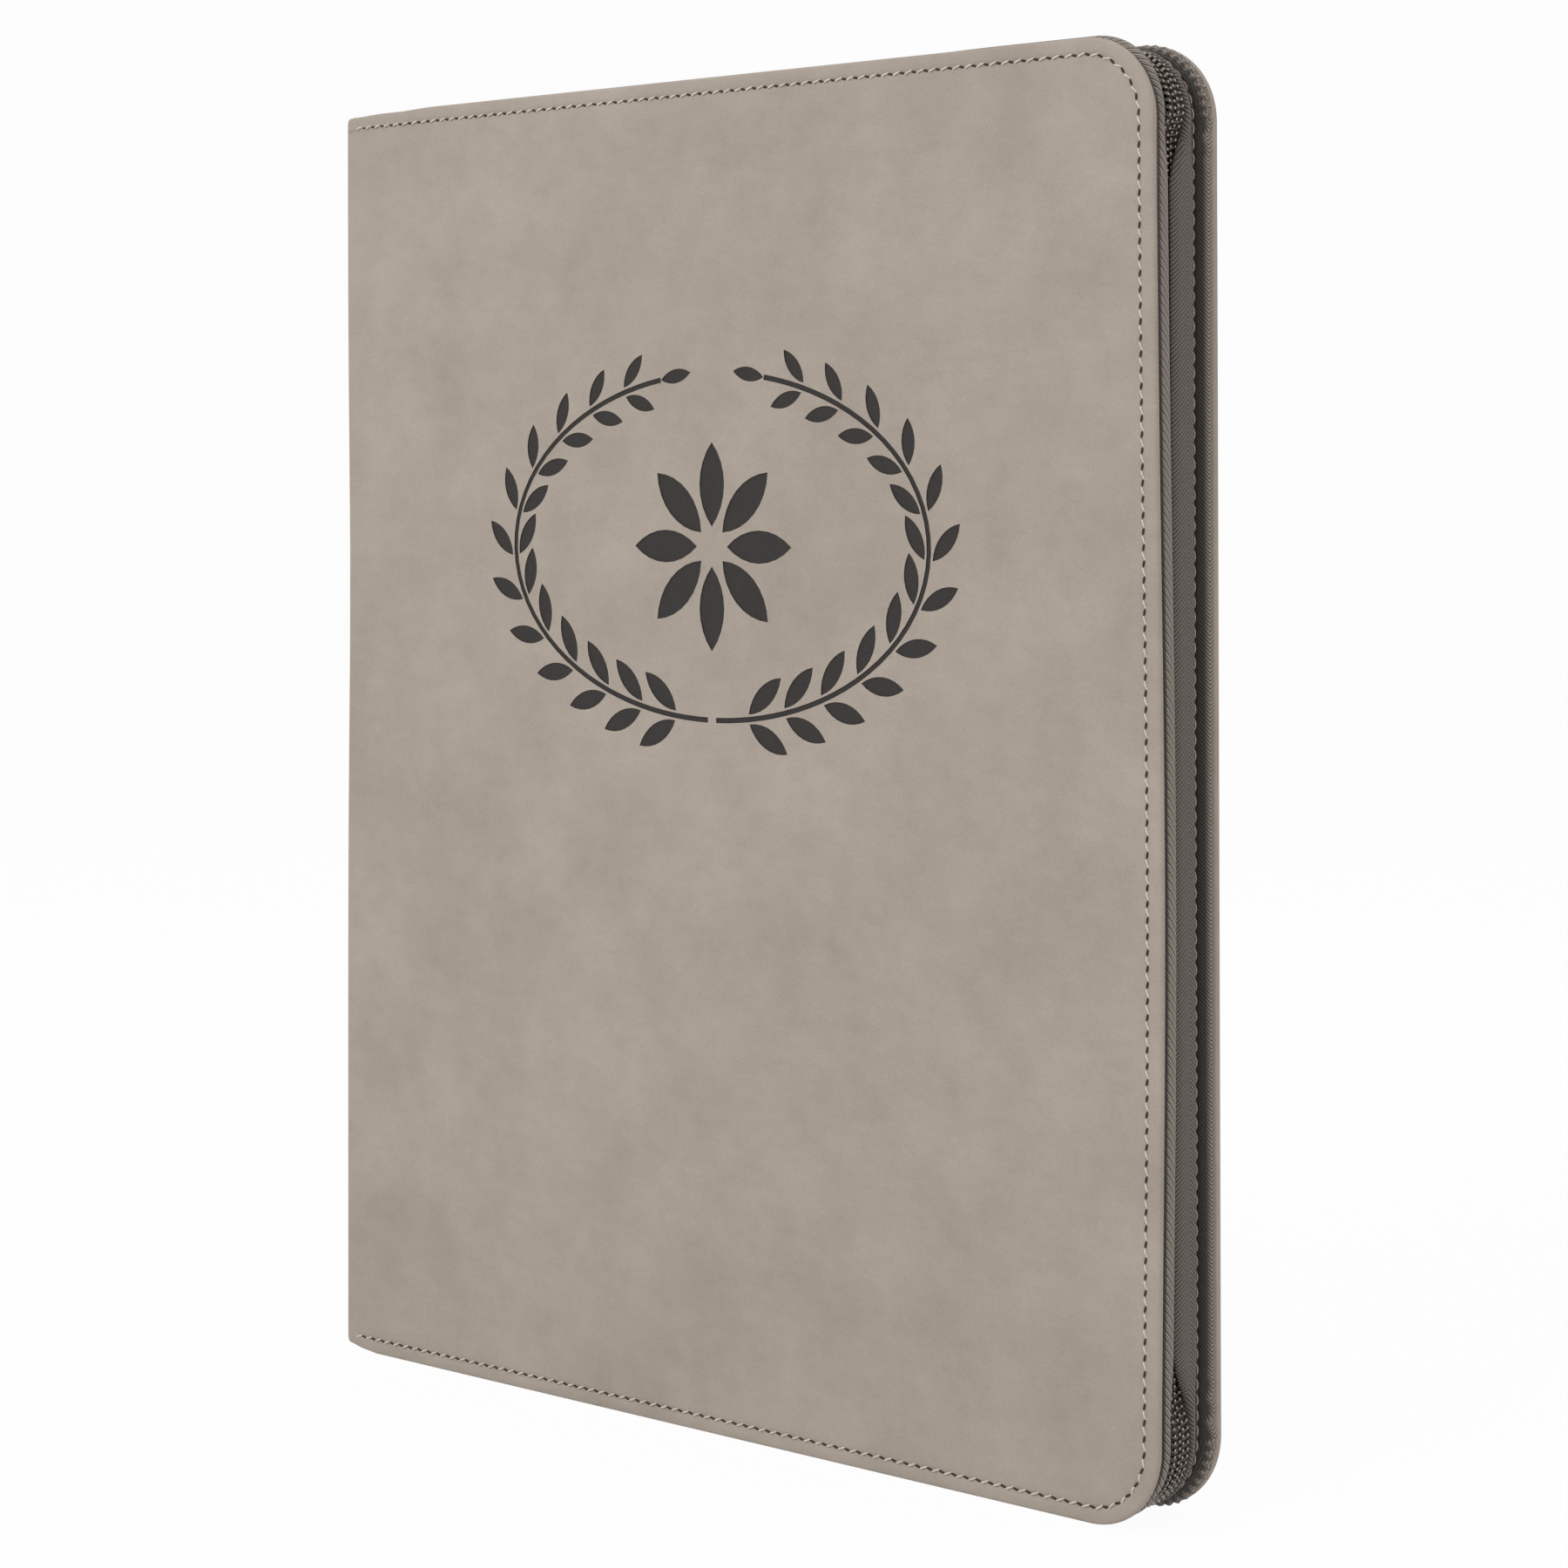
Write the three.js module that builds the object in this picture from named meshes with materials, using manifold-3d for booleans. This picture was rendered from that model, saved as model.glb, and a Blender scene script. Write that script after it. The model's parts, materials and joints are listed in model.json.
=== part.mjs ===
// Zippered portfolio, closed and standing on its lower edges. Millimetres, +Z up.
// It is modelled as it is seen from the front, x to the right, y up and z towards the viewer,
// and the outermost group turns that view so that up is +Z and the front faces -Y.

import * as THREE from 'three';
import { mergeVertices } from 'three/addons/utils/BufferGeometryUtils.js';
import Module from 'manifold-3d';

// Writing pad of letter size, and the room that the covers leave round it
const padWidth = 215.9;
const padHeight = 279.4;
const padFromSpine = 15.9;
const padFromZipSide = 9.5;
const padLift = 11;
const padHeadroom = 14.4;

// Whole portfolio
const coverWidth = padFromSpine + padWidth + padFromZipSide;
const coverHeight = padLift + padHeight + padHeadroom;
const thickness = 22.2;
const cornerRadius = 17;

// Cover layers
const skinThickness = 0.9;
const boardThickness = 1.0;
const liningThickness = 0.5;
const layerGap = 0.1;
const rimWidth = 1.0;
const rimDepth = 2.3;
const edgeRound = 0.7;
const fitGap = 0.25;
const foldGap = 0.4;
const foldMargin = 3;

// Seam round the cover
const seamInset = 4;
const seamGrooveWidth = 1.1;
const seamGrooveDepth = 0.55;
const threadWidth = 0.5;
const threadDepth = 0.3;

// Zip: its middle lies at this depth from the front face, and sections are given from there
const zipDepth = 9.4;
const tapeThickness = 0.5;
const tapeRoot = 7.2;
const coilWidth = 2.5;
const coilHeight = 1.3;
const coilTop = 3.35;
const coilSpacing = 1.0;
const backTapeStart = 20;
const frontTapeStart = 39;
const coilSetback = 4;
const coilSeat = 0.2;
const tapeEdge = 0.4;
const stopLength = 2.5;
const foldOpenAbove = coverHeight - 31.5;
const foldOpenBelow = 36.5;
const foldTaper = 18;
const coilLift = 2.1;
const liftTaper = 8;
const liftFrom = 0.6;
const foldLead = 1.35;
const gussetThickness = 0.5;

// Slider and pull
const sliderStart = 32;
const sliderLength = 11;
const sliderWidth = 7;
const sliderPlate = 0.8;
const sliderNose = 4.6;
const bridgeWidth = 0.5;
const bridgeLength = 3.5;
const channelGap = 0.35;
const crownLength = 5.4;
const crownWidth = 1.6;
const crownBar = 0.8;
const crownPost = 0.9;
const pullLength = 22;
const pullWidth = 5;
const pullThickness = 1;
const pullEyeLength = 6;
const pullClearance = 0.4;
const stopRound = 0.2;
const sliderTailCut = [1.2, 0.8];
const sliderNoseLength = 3.5;

// The pad's layers, its pocket and the pen loop
const padBacking = 0.8;
const padSheets = 4.5;
const bindingHeight = 14;
const bindingThickness = 0.3;
const pocketPanel = 0.6;
const pocketShow = 46;
const pocketMargin = 2.5;
const penLoopLength = 40;
const penLoopWidth = 11;
const penLoopDepth = 9.5;
const penLoopWall = 0.8;

// Pockets on the front half
const frontPocketMargin = 10;
const cardPocketWidth = 95;
const cardPocketDrop = 27.8;
const cardPocketHeight = 38;
const cardPocketStep = 18;
const pocketSpacing = 15;
const panelGap = 0.3;

// Ornament engraved in the front cover: an oval wreath round a flower
const wreathHalfWidth = 62;
const wreathHalfHeight = 39;
const wreathHeight = coverHeight - 105.8;
const wreathGap = 0.11;
const wreathEvening = 0.114;
const leafPairs = 13;
const leafLength = 13;
const leafWidth = 4.6;
const leafSplay = 0.62;
const stemWidth = 1.2;
const petalCount = 8;
const petalLength = 19;
const petalWidth = 7.4;
const petalStart = 4.5;
const stemStart = 0.02;
const leafRoot = 1.32;
const leafShrink = 0.3;
const engravingDepth = 0.25;

// How far a cutting tool runs past what it cuts
const cutReach = 1;

// Finish of the curves
const cornerSteps = 10;
const taperSteps = 7;
const leafSteps = 4;

const halfWidth = coverWidth / 2;
const front = thickness / 2;
const back = -thickness / 2;
const coverDepth = skinThickness + boardThickness + liningThickness + 2 * layerGap;

const wasm = await Module();
wasm.setup();

const materials = {
  leatherette: finish(0xa0948a, 0.85),
  lining: finish(0x3b3733, 0.9),
  card: finish(0x8d8378, 0.95),
  thread: finish(0xc9bfae, 0.8),
  tape: finish(0x6c6158, 0.9),
  coil: finish(0x3a3430, 0.5),
  metal: finish(0x7d7a76, 0.35, 0.9),
  paper: finish(0xf2efe4, 0.95),
};

function finish(color, roughness, metalness = 0) {
  return new THREE.MeshStandardMaterial({ color, roughness, metalness });
}

// Booleans

function solidOf(geometry) {
  const bare = geometry.clone();
  bare.deleteAttribute('normal');
  bare.deleteAttribute('uv');
  const merged = mergeVertices(bare, 1e-5);
  const vertProperties = new Float32Array(merged.attributes.position.array);
  const triVerts = new Uint32Array(merged.index.array);
  return new wasm.Manifold(new wasm.Mesh({ numProp: 3, vertProperties, triVerts }));
}

function geometryOf(solid) {
  const { vertProperties, triVerts } = solid.getMesh();
  const geometry = new THREE.BufferGeometry();
  geometry.setAttribute('position', new THREE.Float32BufferAttribute(vertProperties, 3));
  geometry.setIndex([...triVerts]);
  geometry.computeVertexNormals();
  return geometry;
}

function cut(geometry, ...tools) {
  let solid = solidOf(geometry);
  for (const tool of tools) solid = solid.subtract(solidOf(tool));
  return geometryOf(solid);
}

function join(geometry, ...others) {
  let solid = solidOf(geometry);
  for (const other of others) solid = solid.add(solidOf(other));
  return geometryOf(solid);
}

// Plates and prisms

function coverOutline(inset, spineX) {
  const radius = cornerRadius - inset;
  const right = halfWidth - inset;
  const top = coverHeight - inset;
  const shape = new THREE.Shape();
  shape.moveTo(spineX, inset);
  shape.lineTo(right - radius, inset);
  shape.absarc(right - radius, inset + radius, radius, -Math.PI / 2, 0, false);
  shape.lineTo(right, top - radius);
  shape.absarc(right - radius, top - radius, radius, 0, Math.PI / 2, false);
  shape.lineTo(spineX, top);
  shape.closePath();
  return shape;
}

function rectangle(x0, y0, x1, y1) {
  const shape = new THREE.Shape();
  shape.moveTo(x0, y0);
  shape.lineTo(x1, y0);
  shape.lineTo(x1, y1);
  shape.lineTo(x0, y1);
  shape.closePath();
  return shape;
}

function slab(shape, oneFace, otherFace, round = 0) {
  const low = Math.min(oneFace, otherFace);
  const high = Math.max(oneFace, otherFace);
  const geometry = new THREE.ExtrudeGeometry(shape, {
    depth: high - low - 2 * round,
    curveSegments: cornerSteps,
    bevelEnabled: round > 0,
    bevelThickness: round,
    bevelSize: round,
    bevelOffset: -round,
    bevelSegments: 3,
  });
  return geometry.translate(0, 0, low + round);
}

// A section drawn in x and z, carried up from y0 to y1
function upright(points, y0, y1) {
  const shape = new THREE.Shape(points.map(([x, z]) => new THREE.Vector2(x, -z)));
  const geometry = new THREE.ExtrudeGeometry(shape, { depth: y1 - y0, bevelEnabled: false });
  return geometry.rotateX(-Math.PI / 2).translate(0, y0, 0);
}

// The run along the cover's edge: upper edge, corner, zip side, corner, lower edge.
// A section's x is the distance outwards from the edge, and its y is z in the portfolio.

class CoverEdge extends THREE.Curve {
  constructor(start, sideLevels = []) {
    super();
    const x = halfWidth - cornerRadius;
    const high = coverHeight - cornerRadius;
    const low = cornerRadius;
    this.stations = [station(start - halfWidth, coverHeight, Math.PI / 2)];
    for (let i = 0; i <= cornerSteps; i++) {
      this.stations.push(onCorner(x, high, (Math.PI / 2) * (1 - i / cornerSteps)));
    }
    for (const level of sideLevels) this.stations.push(station(halfWidth, level, 0));
    for (let i = 0; i <= cornerSteps; i++) {
      this.stations.push(onCorner(x, low, (-Math.PI / 2) * (i / cornerSteps)));
    }
    this.stations.push(station(start - halfWidth, 0, -Math.PI / 2));
  }

  getSpacedPoints() {
    return this.stations.map((s) => s.point);
  }

  computeFrenetFrames() {
    const normals = this.stations.map((s) => s.outward);
    const binormals = normals.map(() => new THREE.Vector3(0, 0, 1));
    const tangents = normals.map((n, i) => n.clone().cross(binormals[i]));
    return { tangents, normals, binormals };
  }
}

function station(x, y, angle) {
  const outward = new THREE.Vector3(Math.cos(angle), Math.sin(angle), 0);
  return { point: new THREE.Vector3(x, y, 0), outward };
}

function onCorner(x, y, angle) {
  return station(x + cornerRadius * Math.cos(angle), y + cornerRadius * Math.sin(angle), angle);
}

// A section given as [distance inwards from the edge, depth from the front face]
function section(points) {
  const outline = points.map(([inwards, depth]) => new THREE.Vector2(-inwards, front - depth));
  return THREE.ShapeUtils.isClockWise(outline) ? outline.reverse() : outline;
}

function alongEdge(points, start) {
  const extrudePath = new CoverEdge(start);
  const steps = extrudePath.stations.length - 1;
  return new THREE.ExtrudeGeometry(new THREE.Shape(section(points)), { extrudePath, steps });
}

// The section of a plain band between two insets and two depths
function band(inner, outer, depth0, depth1) {
  return [[outer, depth0], [outer, depth1], [inner, depth1], [inner, depth0]];
}

// The outline of a ribbon of tape about its middle line
function ribbon(line) {
  const sides = [[], []];
  line.forEach(([inwards, depth], i) => {
    const before = line[Math.max(i - 1, 0)];
    const after = line[Math.min(i + 1, line.length - 1)];
    const along = new THREE.Vector2(after[0] - before[0], after[1] - before[1]).normalize();
    const across = tapeThickness / 2;
    sides[0].push([inwards - along.y * across, depth + along.x * across]);
    sides[1].unshift([inwards + along.y * across, depth - along.x * across]);
  });
  return section([...sides[0], ...sides[1]]);
}

// How far the folded tape stands open at a height on the zip side: 0 closed, 1 open
function openness(y) {
  const away = Math.max(y - foldOpenAbove, foldOpenBelow - y, 0);
  return THREE.MathUtils.smoothstep(away, 0, foldTaper);
}

// How far the coil is raised towards the edge: 1 on the zip side, 0 along the straight ends
function raised(x) {
  const corner = halfWidth - cornerRadius;
  return THREE.MathUtils.smoothstep(x, corner, corner + liftTaper);
}

function between(line, other, share, depthShare = share) {
  return line.map(([inwards, depth], i) => [
    THREE.MathUtils.lerp(inwards, other[i][0], share),
    THREE.MathUtils.lerp(depth, other[i][1], depthShare),
  ]);
}

// A solid whose section changes along the edge, with stations close together where it opens
function alongOpening(start, sectionAt) {
  const levels = [];
  for (let i = 0; i < taperSteps; i++) {
    levels.push(foldOpenAbove + foldTaper * ((i + 0.5) / taperSteps));
    levels.push(foldOpenBelow - foldTaper * ((i + 0.5) / taperSteps));
  }
  levels.sort((a, b) => b - a);
  const onSide = (y) => y < coverHeight - cornerRadius && y > cornerRadius;
  const run = new CoverEdge(start, levels.filter(onSide));
  const rings = run.stations.map(({ point, outward }) => {
    const share = openness(point.y);
    const lift = raised(point.x) * THREE.MathUtils.smoothstep(share, liftFrom, 1);
    const outline = sectionAt(share, lift);
    return outline.map((p) => point.clone().addScaledVector(outward, p.x).setZ(p.y));
  });
  return loft(rings, sectionAt(1, 0));
}

// A tape has three middle lines: closed, open with the coil low, and open with the coil raised.
// Its fold clears the coil sideways before the coil is raised.
function foldedTape({ closed, open, high }, start) {
  return alongOpening(start, (share, lift) => {
    const aside = Math.min(1, foldLead * share);
    return ribbon(between(closed, between(open, high, lift), share, aside));
  });
}

function loft(rings, endOutline) {
  const count = rings[0].length;
  const faces = [];
  for (let r = 0; r < rings.length - 1; r++) {
    for (let i = 0; i < count; i++) {
      const [a, b] = [r * count + i, r * count + ((i + 1) % count)];
      faces.push(a, b, b + count, a, b + count, a + count);
    }
  }
  const last = (rings.length - 1) * count;
  for (const [a, b, c] of THREE.ShapeUtils.triangulateShape(endOutline, [])) {
    faces.push(a, c, b, last + a, last + b, last + c);
  }
  const geometry = new THREE.BufferGeometry().setFromPoints(rings.flat());
  geometry.setIndex(faces);
  geometry.computeVertexNormals();
  return geometry;
}

// Covers

// The wedge between a cover and the spine, from the outer corner inwards at 45 degrees
function foldWedge(side, keepCover) {
  const reach = 2 * rimDepth;
  const shift = keepCover ? foldGap / 2 : -foldGap / 2;
  const corner = -halfWidth + shift;
  const face = side * front;
  const inner = face - side * reach;
  const beyond = face + side * reach;
  const away = keepCover ? corner - 2 * reach : corner + 4 * reach;
  const points = [[corner - reach, beyond], [corner + reach, inner], [away, inner], [away, beyond]];
  return upright(points, -reach, coverHeight + reach);
}

function seamGroove(side) {
  const half = seamGrooveWidth / 2;
  const bottom = side > 0 ? seamGrooveDepth : thickness - seamGrooveDepth;
  const beyond = side > 0 ? -cutReach : thickness + cutReach;
  return alongEdge(band(seamInset - half, seamInset + half, bottom, beyond), -cutReach);
}

function seamThread(side) {
  const half = threadWidth / 2;
  const depths = [0.5 * (seamGrooveDepth - threadDepth), 0.5 * (seamGrooveDepth + threadDepth)];
  const [low, high] = side > 0 ? depths : depths.map((d) => thickness - d);
  return alongEdge(band(seamInset - half, seamInset + half, low, high), foldMargin);
}

function coverSkin(side, ...engraving) {
  const face = side * front;
  const tray = slab(coverOutline(0, -halfWidth), face, face - side * rimDepth, edgeRound);
  const floor = face - side * skinThickness;
  const pocket = slab(coverOutline(rimWidth, -halfWidth - rimDepth), floor, face - side * 2 * rimDepth);
  return cut(tray, pocket, foldWedge(side, true), seamGroove(side), ...engraving);
}

// A layer inside the cover, from one depth under its face to another
function coverLayer(side, depth0, depth1, spineX) {
  return slab(coverOutline(rimWidth + fitGap, spineX), side * (front - depth0), side * (front - depth1));
}

// Ornament

function lens(x, y, angle, length, width) {
  const shape = new THREE.Shape();
  const radius = (length * length + width * width) / (4 * width);
  const half = Math.asin(length / 2 / radius);
  const points = [];
  for (let i = 0; i < 2 * leafSteps; i++) {
    const side = i < leafSteps ? 1 : -1;
    const turn = -half + (2 * half * (i % leafSteps)) / leafSteps;
    const along = side * radius * Math.sin(turn);
    const across = -side * (radius * Math.cos(turn) - radius + width / 2);
    points.push(new THREE.Vector2(along + length / 2, across).rotateAround(new THREE.Vector2(), angle));
  }
  shape.setFromPoints(points.map((p) => p.add(new THREE.Vector2(x, y))));
  return shape;
}

function wreathPoint(angle, grow = 0) {
  const x = (wreathHalfWidth + grow) * Math.sin(angle);
  return new THREE.Vector2(x, wreathHeight - (wreathHalfHeight + grow) * Math.cos(angle));
}

// Even steps along the oval, up to the gap at its top, because it is wider than it is high
function wreathAngle(share) {
  const turn = Math.PI * share * (1 - wreathGap);
  return turn - wreathEvening * Math.sin(2 * turn);
}

function ornament() {
  const shapes = [];
  for (const side of [-1, 1]) {
    const stem = [];
    for (let i = 0; i <= 2 * leafPairs; i++) {
      const angle = side * (stemStart + wreathAngle(i / (2 * leafPairs)));
      stem.push(wreathPoint(angle, stemWidth / 2));
      stem.unshift(wreathPoint(angle, -stemWidth / 2));
    }
    shapes.push(new THREE.Shape(side > 0 ? stem : stem.reverse()));
    for (let i = 1; i <= leafPairs; i++) {
      const angle = wreathAngle(i / leafPairs);
      const here = wreathPoint(side * angle);
      const next = wreathPoint(side * (angle + stemStart / 2));
      const heading = Math.atan2(next.y - here.y, next.x - here.x);
      const shrink = 1 - leafShrink * (i / leafPairs);
      for (const splay of i < leafPairs ? [-leafSplay, leafSplay] : [0]) {
        const rootX = here.x + leafRoot * Math.cos(heading + splay / leafSplay);
        const rootY = here.y + leafRoot * Math.sin(heading + splay / leafSplay);
        shapes.push(lens(rootX, rootY, heading + splay, leafLength * shrink, leafWidth * shrink));
      }
    }
  }
  for (let i = 0; i < petalCount; i++) {
    const angle = (2 * Math.PI * i) / petalCount;
    const x = petalStart * Math.cos(angle);
    const y = wreathHeight + petalStart * Math.sin(angle);
    shapes.push(lens(x, y, angle, petalLength, petalWidth));
  }
  return shapes.map((shape) => slab(shape, front - engravingDepth, front + cutReach));
}

// Spine

function spineSkin() {
  const inner = -halfWidth + rimDepth;
  const arcSteps = 4;
  const outline = [[inner, front], [inner, back]];
  for (const side of [-1, 1]) {
    for (let i = 0; i <= arcSteps; i++) {
      const turn = (Math.PI / 2) * (side < 0 ? i / arcSteps : 1 - i / arcSteps);
      const x = -halfWidth + edgeRound * (1 - Math.sin(turn));
      outline.push([x, side * (front - edgeRound * (1 - Math.cos(turn)))]);
    }
  }
  const blank = upright(outline, 0, coverHeight);
  const hollow = rectangle(-halfWidth + skinThickness, rimWidth, inner + cutReach, coverHeight - rimWidth);
  const pocket = slab(hollow, back - cutReach, front + cutReach);
  const grooves = [seamInset, coverHeight - seamInset].map((y) => {
    const half = seamGrooveWidth / 2;
    const shape = rectangle(-halfWidth - cutReach, y - half, -halfWidth + seamGrooveDepth, y + half);
    return slab(shape, back - cutReach, front + cutReach);
  });
  return cut(blank, pocket, foldWedge(1, false), foldWedge(-1, false), ...grooves);
}

function spineThread(y) {
  const x = -halfWidth + 0.5 * (seamGrooveDepth - threadDepth);
  const shape = rectangle(x, y - threadWidth / 2, x + threadDepth, y + threadWidth / 2);
  return slab(shape, back + foldMargin, front - foldMargin);
}

function spineLiningSheet() {
  const x = -halfWidth + skinThickness + layerGap;
  const edge = rimWidth + fitGap;
  const shape = rectangle(x, edge, x + liningThickness, coverHeight - edge);
  const reach = coverDepth + fitGap;
  return slab(shape, back + reach, front - reach);
}

// Zip

const coilBase = coilTop + coilHeight;
const tapeLevel = coilBase + coilSeat + tapeThickness / 2;
const frontRoot = coverDepth + layerGap + tapeThickness / 2;
const gussetRoot = thickness - coverDepth - layerGap - gussetThickness / 2;
const coilInner = coilSpacing / 2;
const coilOuter = coilInner + coilWidth;

// Middle lines as [inwards from the cover's edge, depth from the front face]. The front tape rolls
// out beside the cover and dips under the coil. The back tape covers the coil as a flap, and is sewn
// to the gusset, a woven band that rolls out to the back cover's edge.
const lowLevel = tapeLevel;
const highLevel = tapeLevel - coilLift;
const nearSide = zipDepth - coilOuter;
const farSide = zipDepth + coilOuter;
const frontRoll = [[tapeRoot, frontRoot], [3.2, frontRoot + 0.05], [1.8, frontRoot + 0.15],
  [1, 3.5], [0.6, 4], [0.5, 4.6], [0.7, 5.1], [1.1, nearSide - 0.95]];
const frontTape = {
  closed: [[tapeRoot, frontRoot], [2.6, frontRoot + 0.05], [1.6, frontRoot + 0.25], [1, 3.8],
    [0.85, 4.7], [0.9, 5.8], [1.2, nearSide + 0.3], [1.8, nearSide + 0.9], [2.4, nearSide + 0.5],
    [2.9, nearSide - 0.3], [4.1, nearSide - 0.8], [lowLevel, nearSide - 0.1],
    [lowLevel, zipDepth - tapeEdge]],
  open: [...frontRoll, [1.9, nearSide - 0.9], [3, nearSide - 0.9], [4.2, nearSide - 0.9],
    [lowLevel, nearSide - 0.1], [lowLevel, zipDepth - tapeEdge]],
  high: [...frontRoll, [1.7, nearSide - 0.65], [2.3, nearSide - 0.6], [2.75, nearSide - 0.4],
    [highLevel, nearSide + 0.1], [highLevel, zipDepth - tapeEdge]],
};
const backFoot = [[4.6, 17.2], [3.6, 16.9], [2.7, 16.6], [2.15, 16.2], [1.95, 15.7]];
const backTape = {
  closed: [...backFoot, [1.8, 15.3], [1.45, 14.9], [1.25, 14.2], [1.2, 12], [1.25, 10],
    [1.4, nearSide + 2.6], [1.7, nearSide + 2], [2.1, nearSide + 1.75], [2.45, nearSide + 2.05],
    [2.6, nearSide + 2.8], [2.65, farSide + 0.2], [3.2, farSide + 0.9], [4.4, farSide + 0.9],
    [lowLevel, farSide + 0.4], [lowLevel, zipDepth + tapeEdge]],
  open: [...backFoot, [1.9, 15.4], [1.85, 15], [1.85, 14.6], [1.85, 14.3], [1.9, 14], [2, 13.75],
    [2.2, farSide + 1.1], [2.5, farSide + 0.95], [2.8, farSide + 0.8], [3.1, farSide + 0.75],
    [3.5, farSide + 0.75], [4, farSide + 0.75], [4.7, farSide + 0.75], [lowLevel, farSide + 0.4],
    [lowLevel, zipDepth + tapeEdge]],
  high: [...backFoot, [1.85, 15.4], [1.75, 15], [1.6, 14.6], [1.45, 14.3], [1.3, 14],
    [1.15, farSide + 1.35], [1.1, farSide + 1.1], [1.2, farSide + 0.88], [1.45, farSide + 0.78],
    [1.75, farSide + 0.75], [2.1, farSide + 0.75], [2.45, farSide + 0.75], [2.75, farSide + 0.7],
    [highLevel, farSide + 0.4], [highLevel, zipDepth + tapeEdge]],
};
const gussetLine = [[tapeRoot, gussetRoot], [3, gussetRoot], [1.4, gussetRoot + 0.05],
  [0.75, gussetRoot], [0.4, gussetRoot - 0.35], [0.4, 18.4], [0.85, 17.95], [1.6, 17.65], [2.6, 17.55],
  [3.6, 17.7], [4.6, 17.95]];
const gusset = { closed: gussetLine, open: gussetLine, high: gussetLine };

// One row of the coil, with its outer corners taken off
function coil(side, start) {
  const near = zipDepth + side * coilInner;
  const far = zipDepth + side * coilOuter;
  const slope = coilHeight / 3;
  const outline = [
    [coilTop, near + side * slope], [coilTop, far - side * slope], [coilTop + slope, far],
    [coilBase - slope, far], [coilBase, far - side * slope], [coilBase, near + side * slope],
    [coilBase - slope, near], [coilTop + slope, near],
  ];
  return alongOpening(start, (share, lift) => {
    const rise = coilLift * share * lift;
    return section(outline.map(([inwards, depth]) => [inwards - rise, depth]));
  });
}

function zipStop() {
  const near = front - zipDepth - coilInner;
  return slab(rectangle(0, -coilBase, stopLength, -coilTop), near - coilWidth, near, stopRound);
}

// The slider lies under the upper edge: x along the zip, y out of it, z across it
function sliderBody() {
  const half = sliderLength / 2;
  const wide = sliderWidth / 2;
  const nose = sliderNose / 2;
  const [cutLong, cutWide] = sliderTailCut;
  const shoulder = half - sliderNoseLength;
  const outline = [[-half, -wide + cutWide], [-half + cutLong, -wide], [shoulder, -wide], [half, -nose],
    [half, nose], [shoulder, wide], [-half + cutLong, wide], [-half, wide - cutWide]];
  const tapeBase = tapeLevel + tapeThickness / 2;
  const outerFloor = -coilTop + channelGap;
  const innerTop = -tapeBase - channelGap;
  const plate = (y) => upright(outline, y, y + sliderPlate);
  const outerTop = outerFloor + sliderPlate;
  const bridge = upright([
    [-half, -bridgeWidth / 2], [-half + bridgeLength, -bridgeWidth / 2],
    [-half + bridgeLength, bridgeWidth / 2], [-half, bridgeWidth / 2],
  ], innerTop - sliderPlate / 2, outerFloor + sliderPlate / 2);
  const windowHeight = pullThickness + 2 * pullClearance;
  const arch = slab(rectangle(-crownLength / 2, outerTop - sliderPlate / 2, crownLength / 2,
    outerTop + windowHeight + crownBar), -crownWidth / 2, crownWidth / 2);
  const window = slab(rectangle(-crownLength / 2 + crownPost, outerTop,
    crownLength / 2 - crownPost, outerTop + windowHeight), -crownWidth, crownWidth);
  return join(plate(outerFloor), plate(innerTop - sliderPlate), bridge, cut(arch, window));
}

const pullAxisDown = coilTop - channelGap - sliderPlate - pullClearance - pullThickness / 2;

function pullTab() {
  const half = pullWidth / 2;
  const shape = new THREE.Shape();
  shape.moveTo(-pullThickness / 2, -half);
  shape.lineTo(pullLength - half, -half);
  shape.absarc(pullLength - half, 0, half, -Math.PI / 2, Math.PI / 2, false);
  shape.lineTo(-pullThickness / 2, half);
  shape.closePath();
  const eye = crownWidth / 2 + pullClearance;
  shape.holes.push(new THREE.Path([
    new THREE.Vector2(pullThickness / 2, -eye), new THREE.Vector2(pullThickness / 2, eye),
    new THREE.Vector2(pullEyeLength, eye), new THREE.Vector2(pullEyeLength, -eye)]));
  const geometry = new THREE.ExtrudeGeometry(shape, {
    depth: pullThickness, curveSegments: cornerSteps, bevelEnabled: false });
  return geometry.translate(0, 0, -pullThickness / 2).rotateX(-Math.PI / 2);
}

// Pad, pockets and pen loop

const padRight = halfWidth - padFromZipSide;
const padLeft = padRight - padWidth;
const padTop = padLift + padHeight;
const padBack = back + coverDepth + fitGap;
const sheetsBack = padBack + padBacking + fitGap + pocketPanel + fitGap;

function padSheetBlock() {
  const shape = rectangle(padLeft, padLift, padRight, padTop);
  return slab(shape, sheetsBack, sheetsBack + padSheets);
}

// The binding is a strip folded over the pad's upper edge
function padBindingStrip() {
  const low = padTop - bindingHeight;
  const wall = fitGap + bindingThickness;
  const outer = slab(rectangle(padLeft, low, padRight, padTop + wall),
    padBack - fitGap / 2, sheetsBack + padSheets + wall);
  const inner = slab(rectangle(padLeft - cutReach, low - cutReach, padRight + cutReach, padTop + fitGap),
    padBack - fitGap, sheetsBack + padSheets + fitGap);
  return cut(outer, inner);
}

function padPocketPanel() {
  const z = padBack + padBacking + fitGap;
  const shape = rectangle(padLeft - pocketMargin, padLift - pocketMargin, padRight + pocketMargin / 2,
    padTop - pocketShow);
  return slab(shape, z, z + pocketPanel);
}

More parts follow.
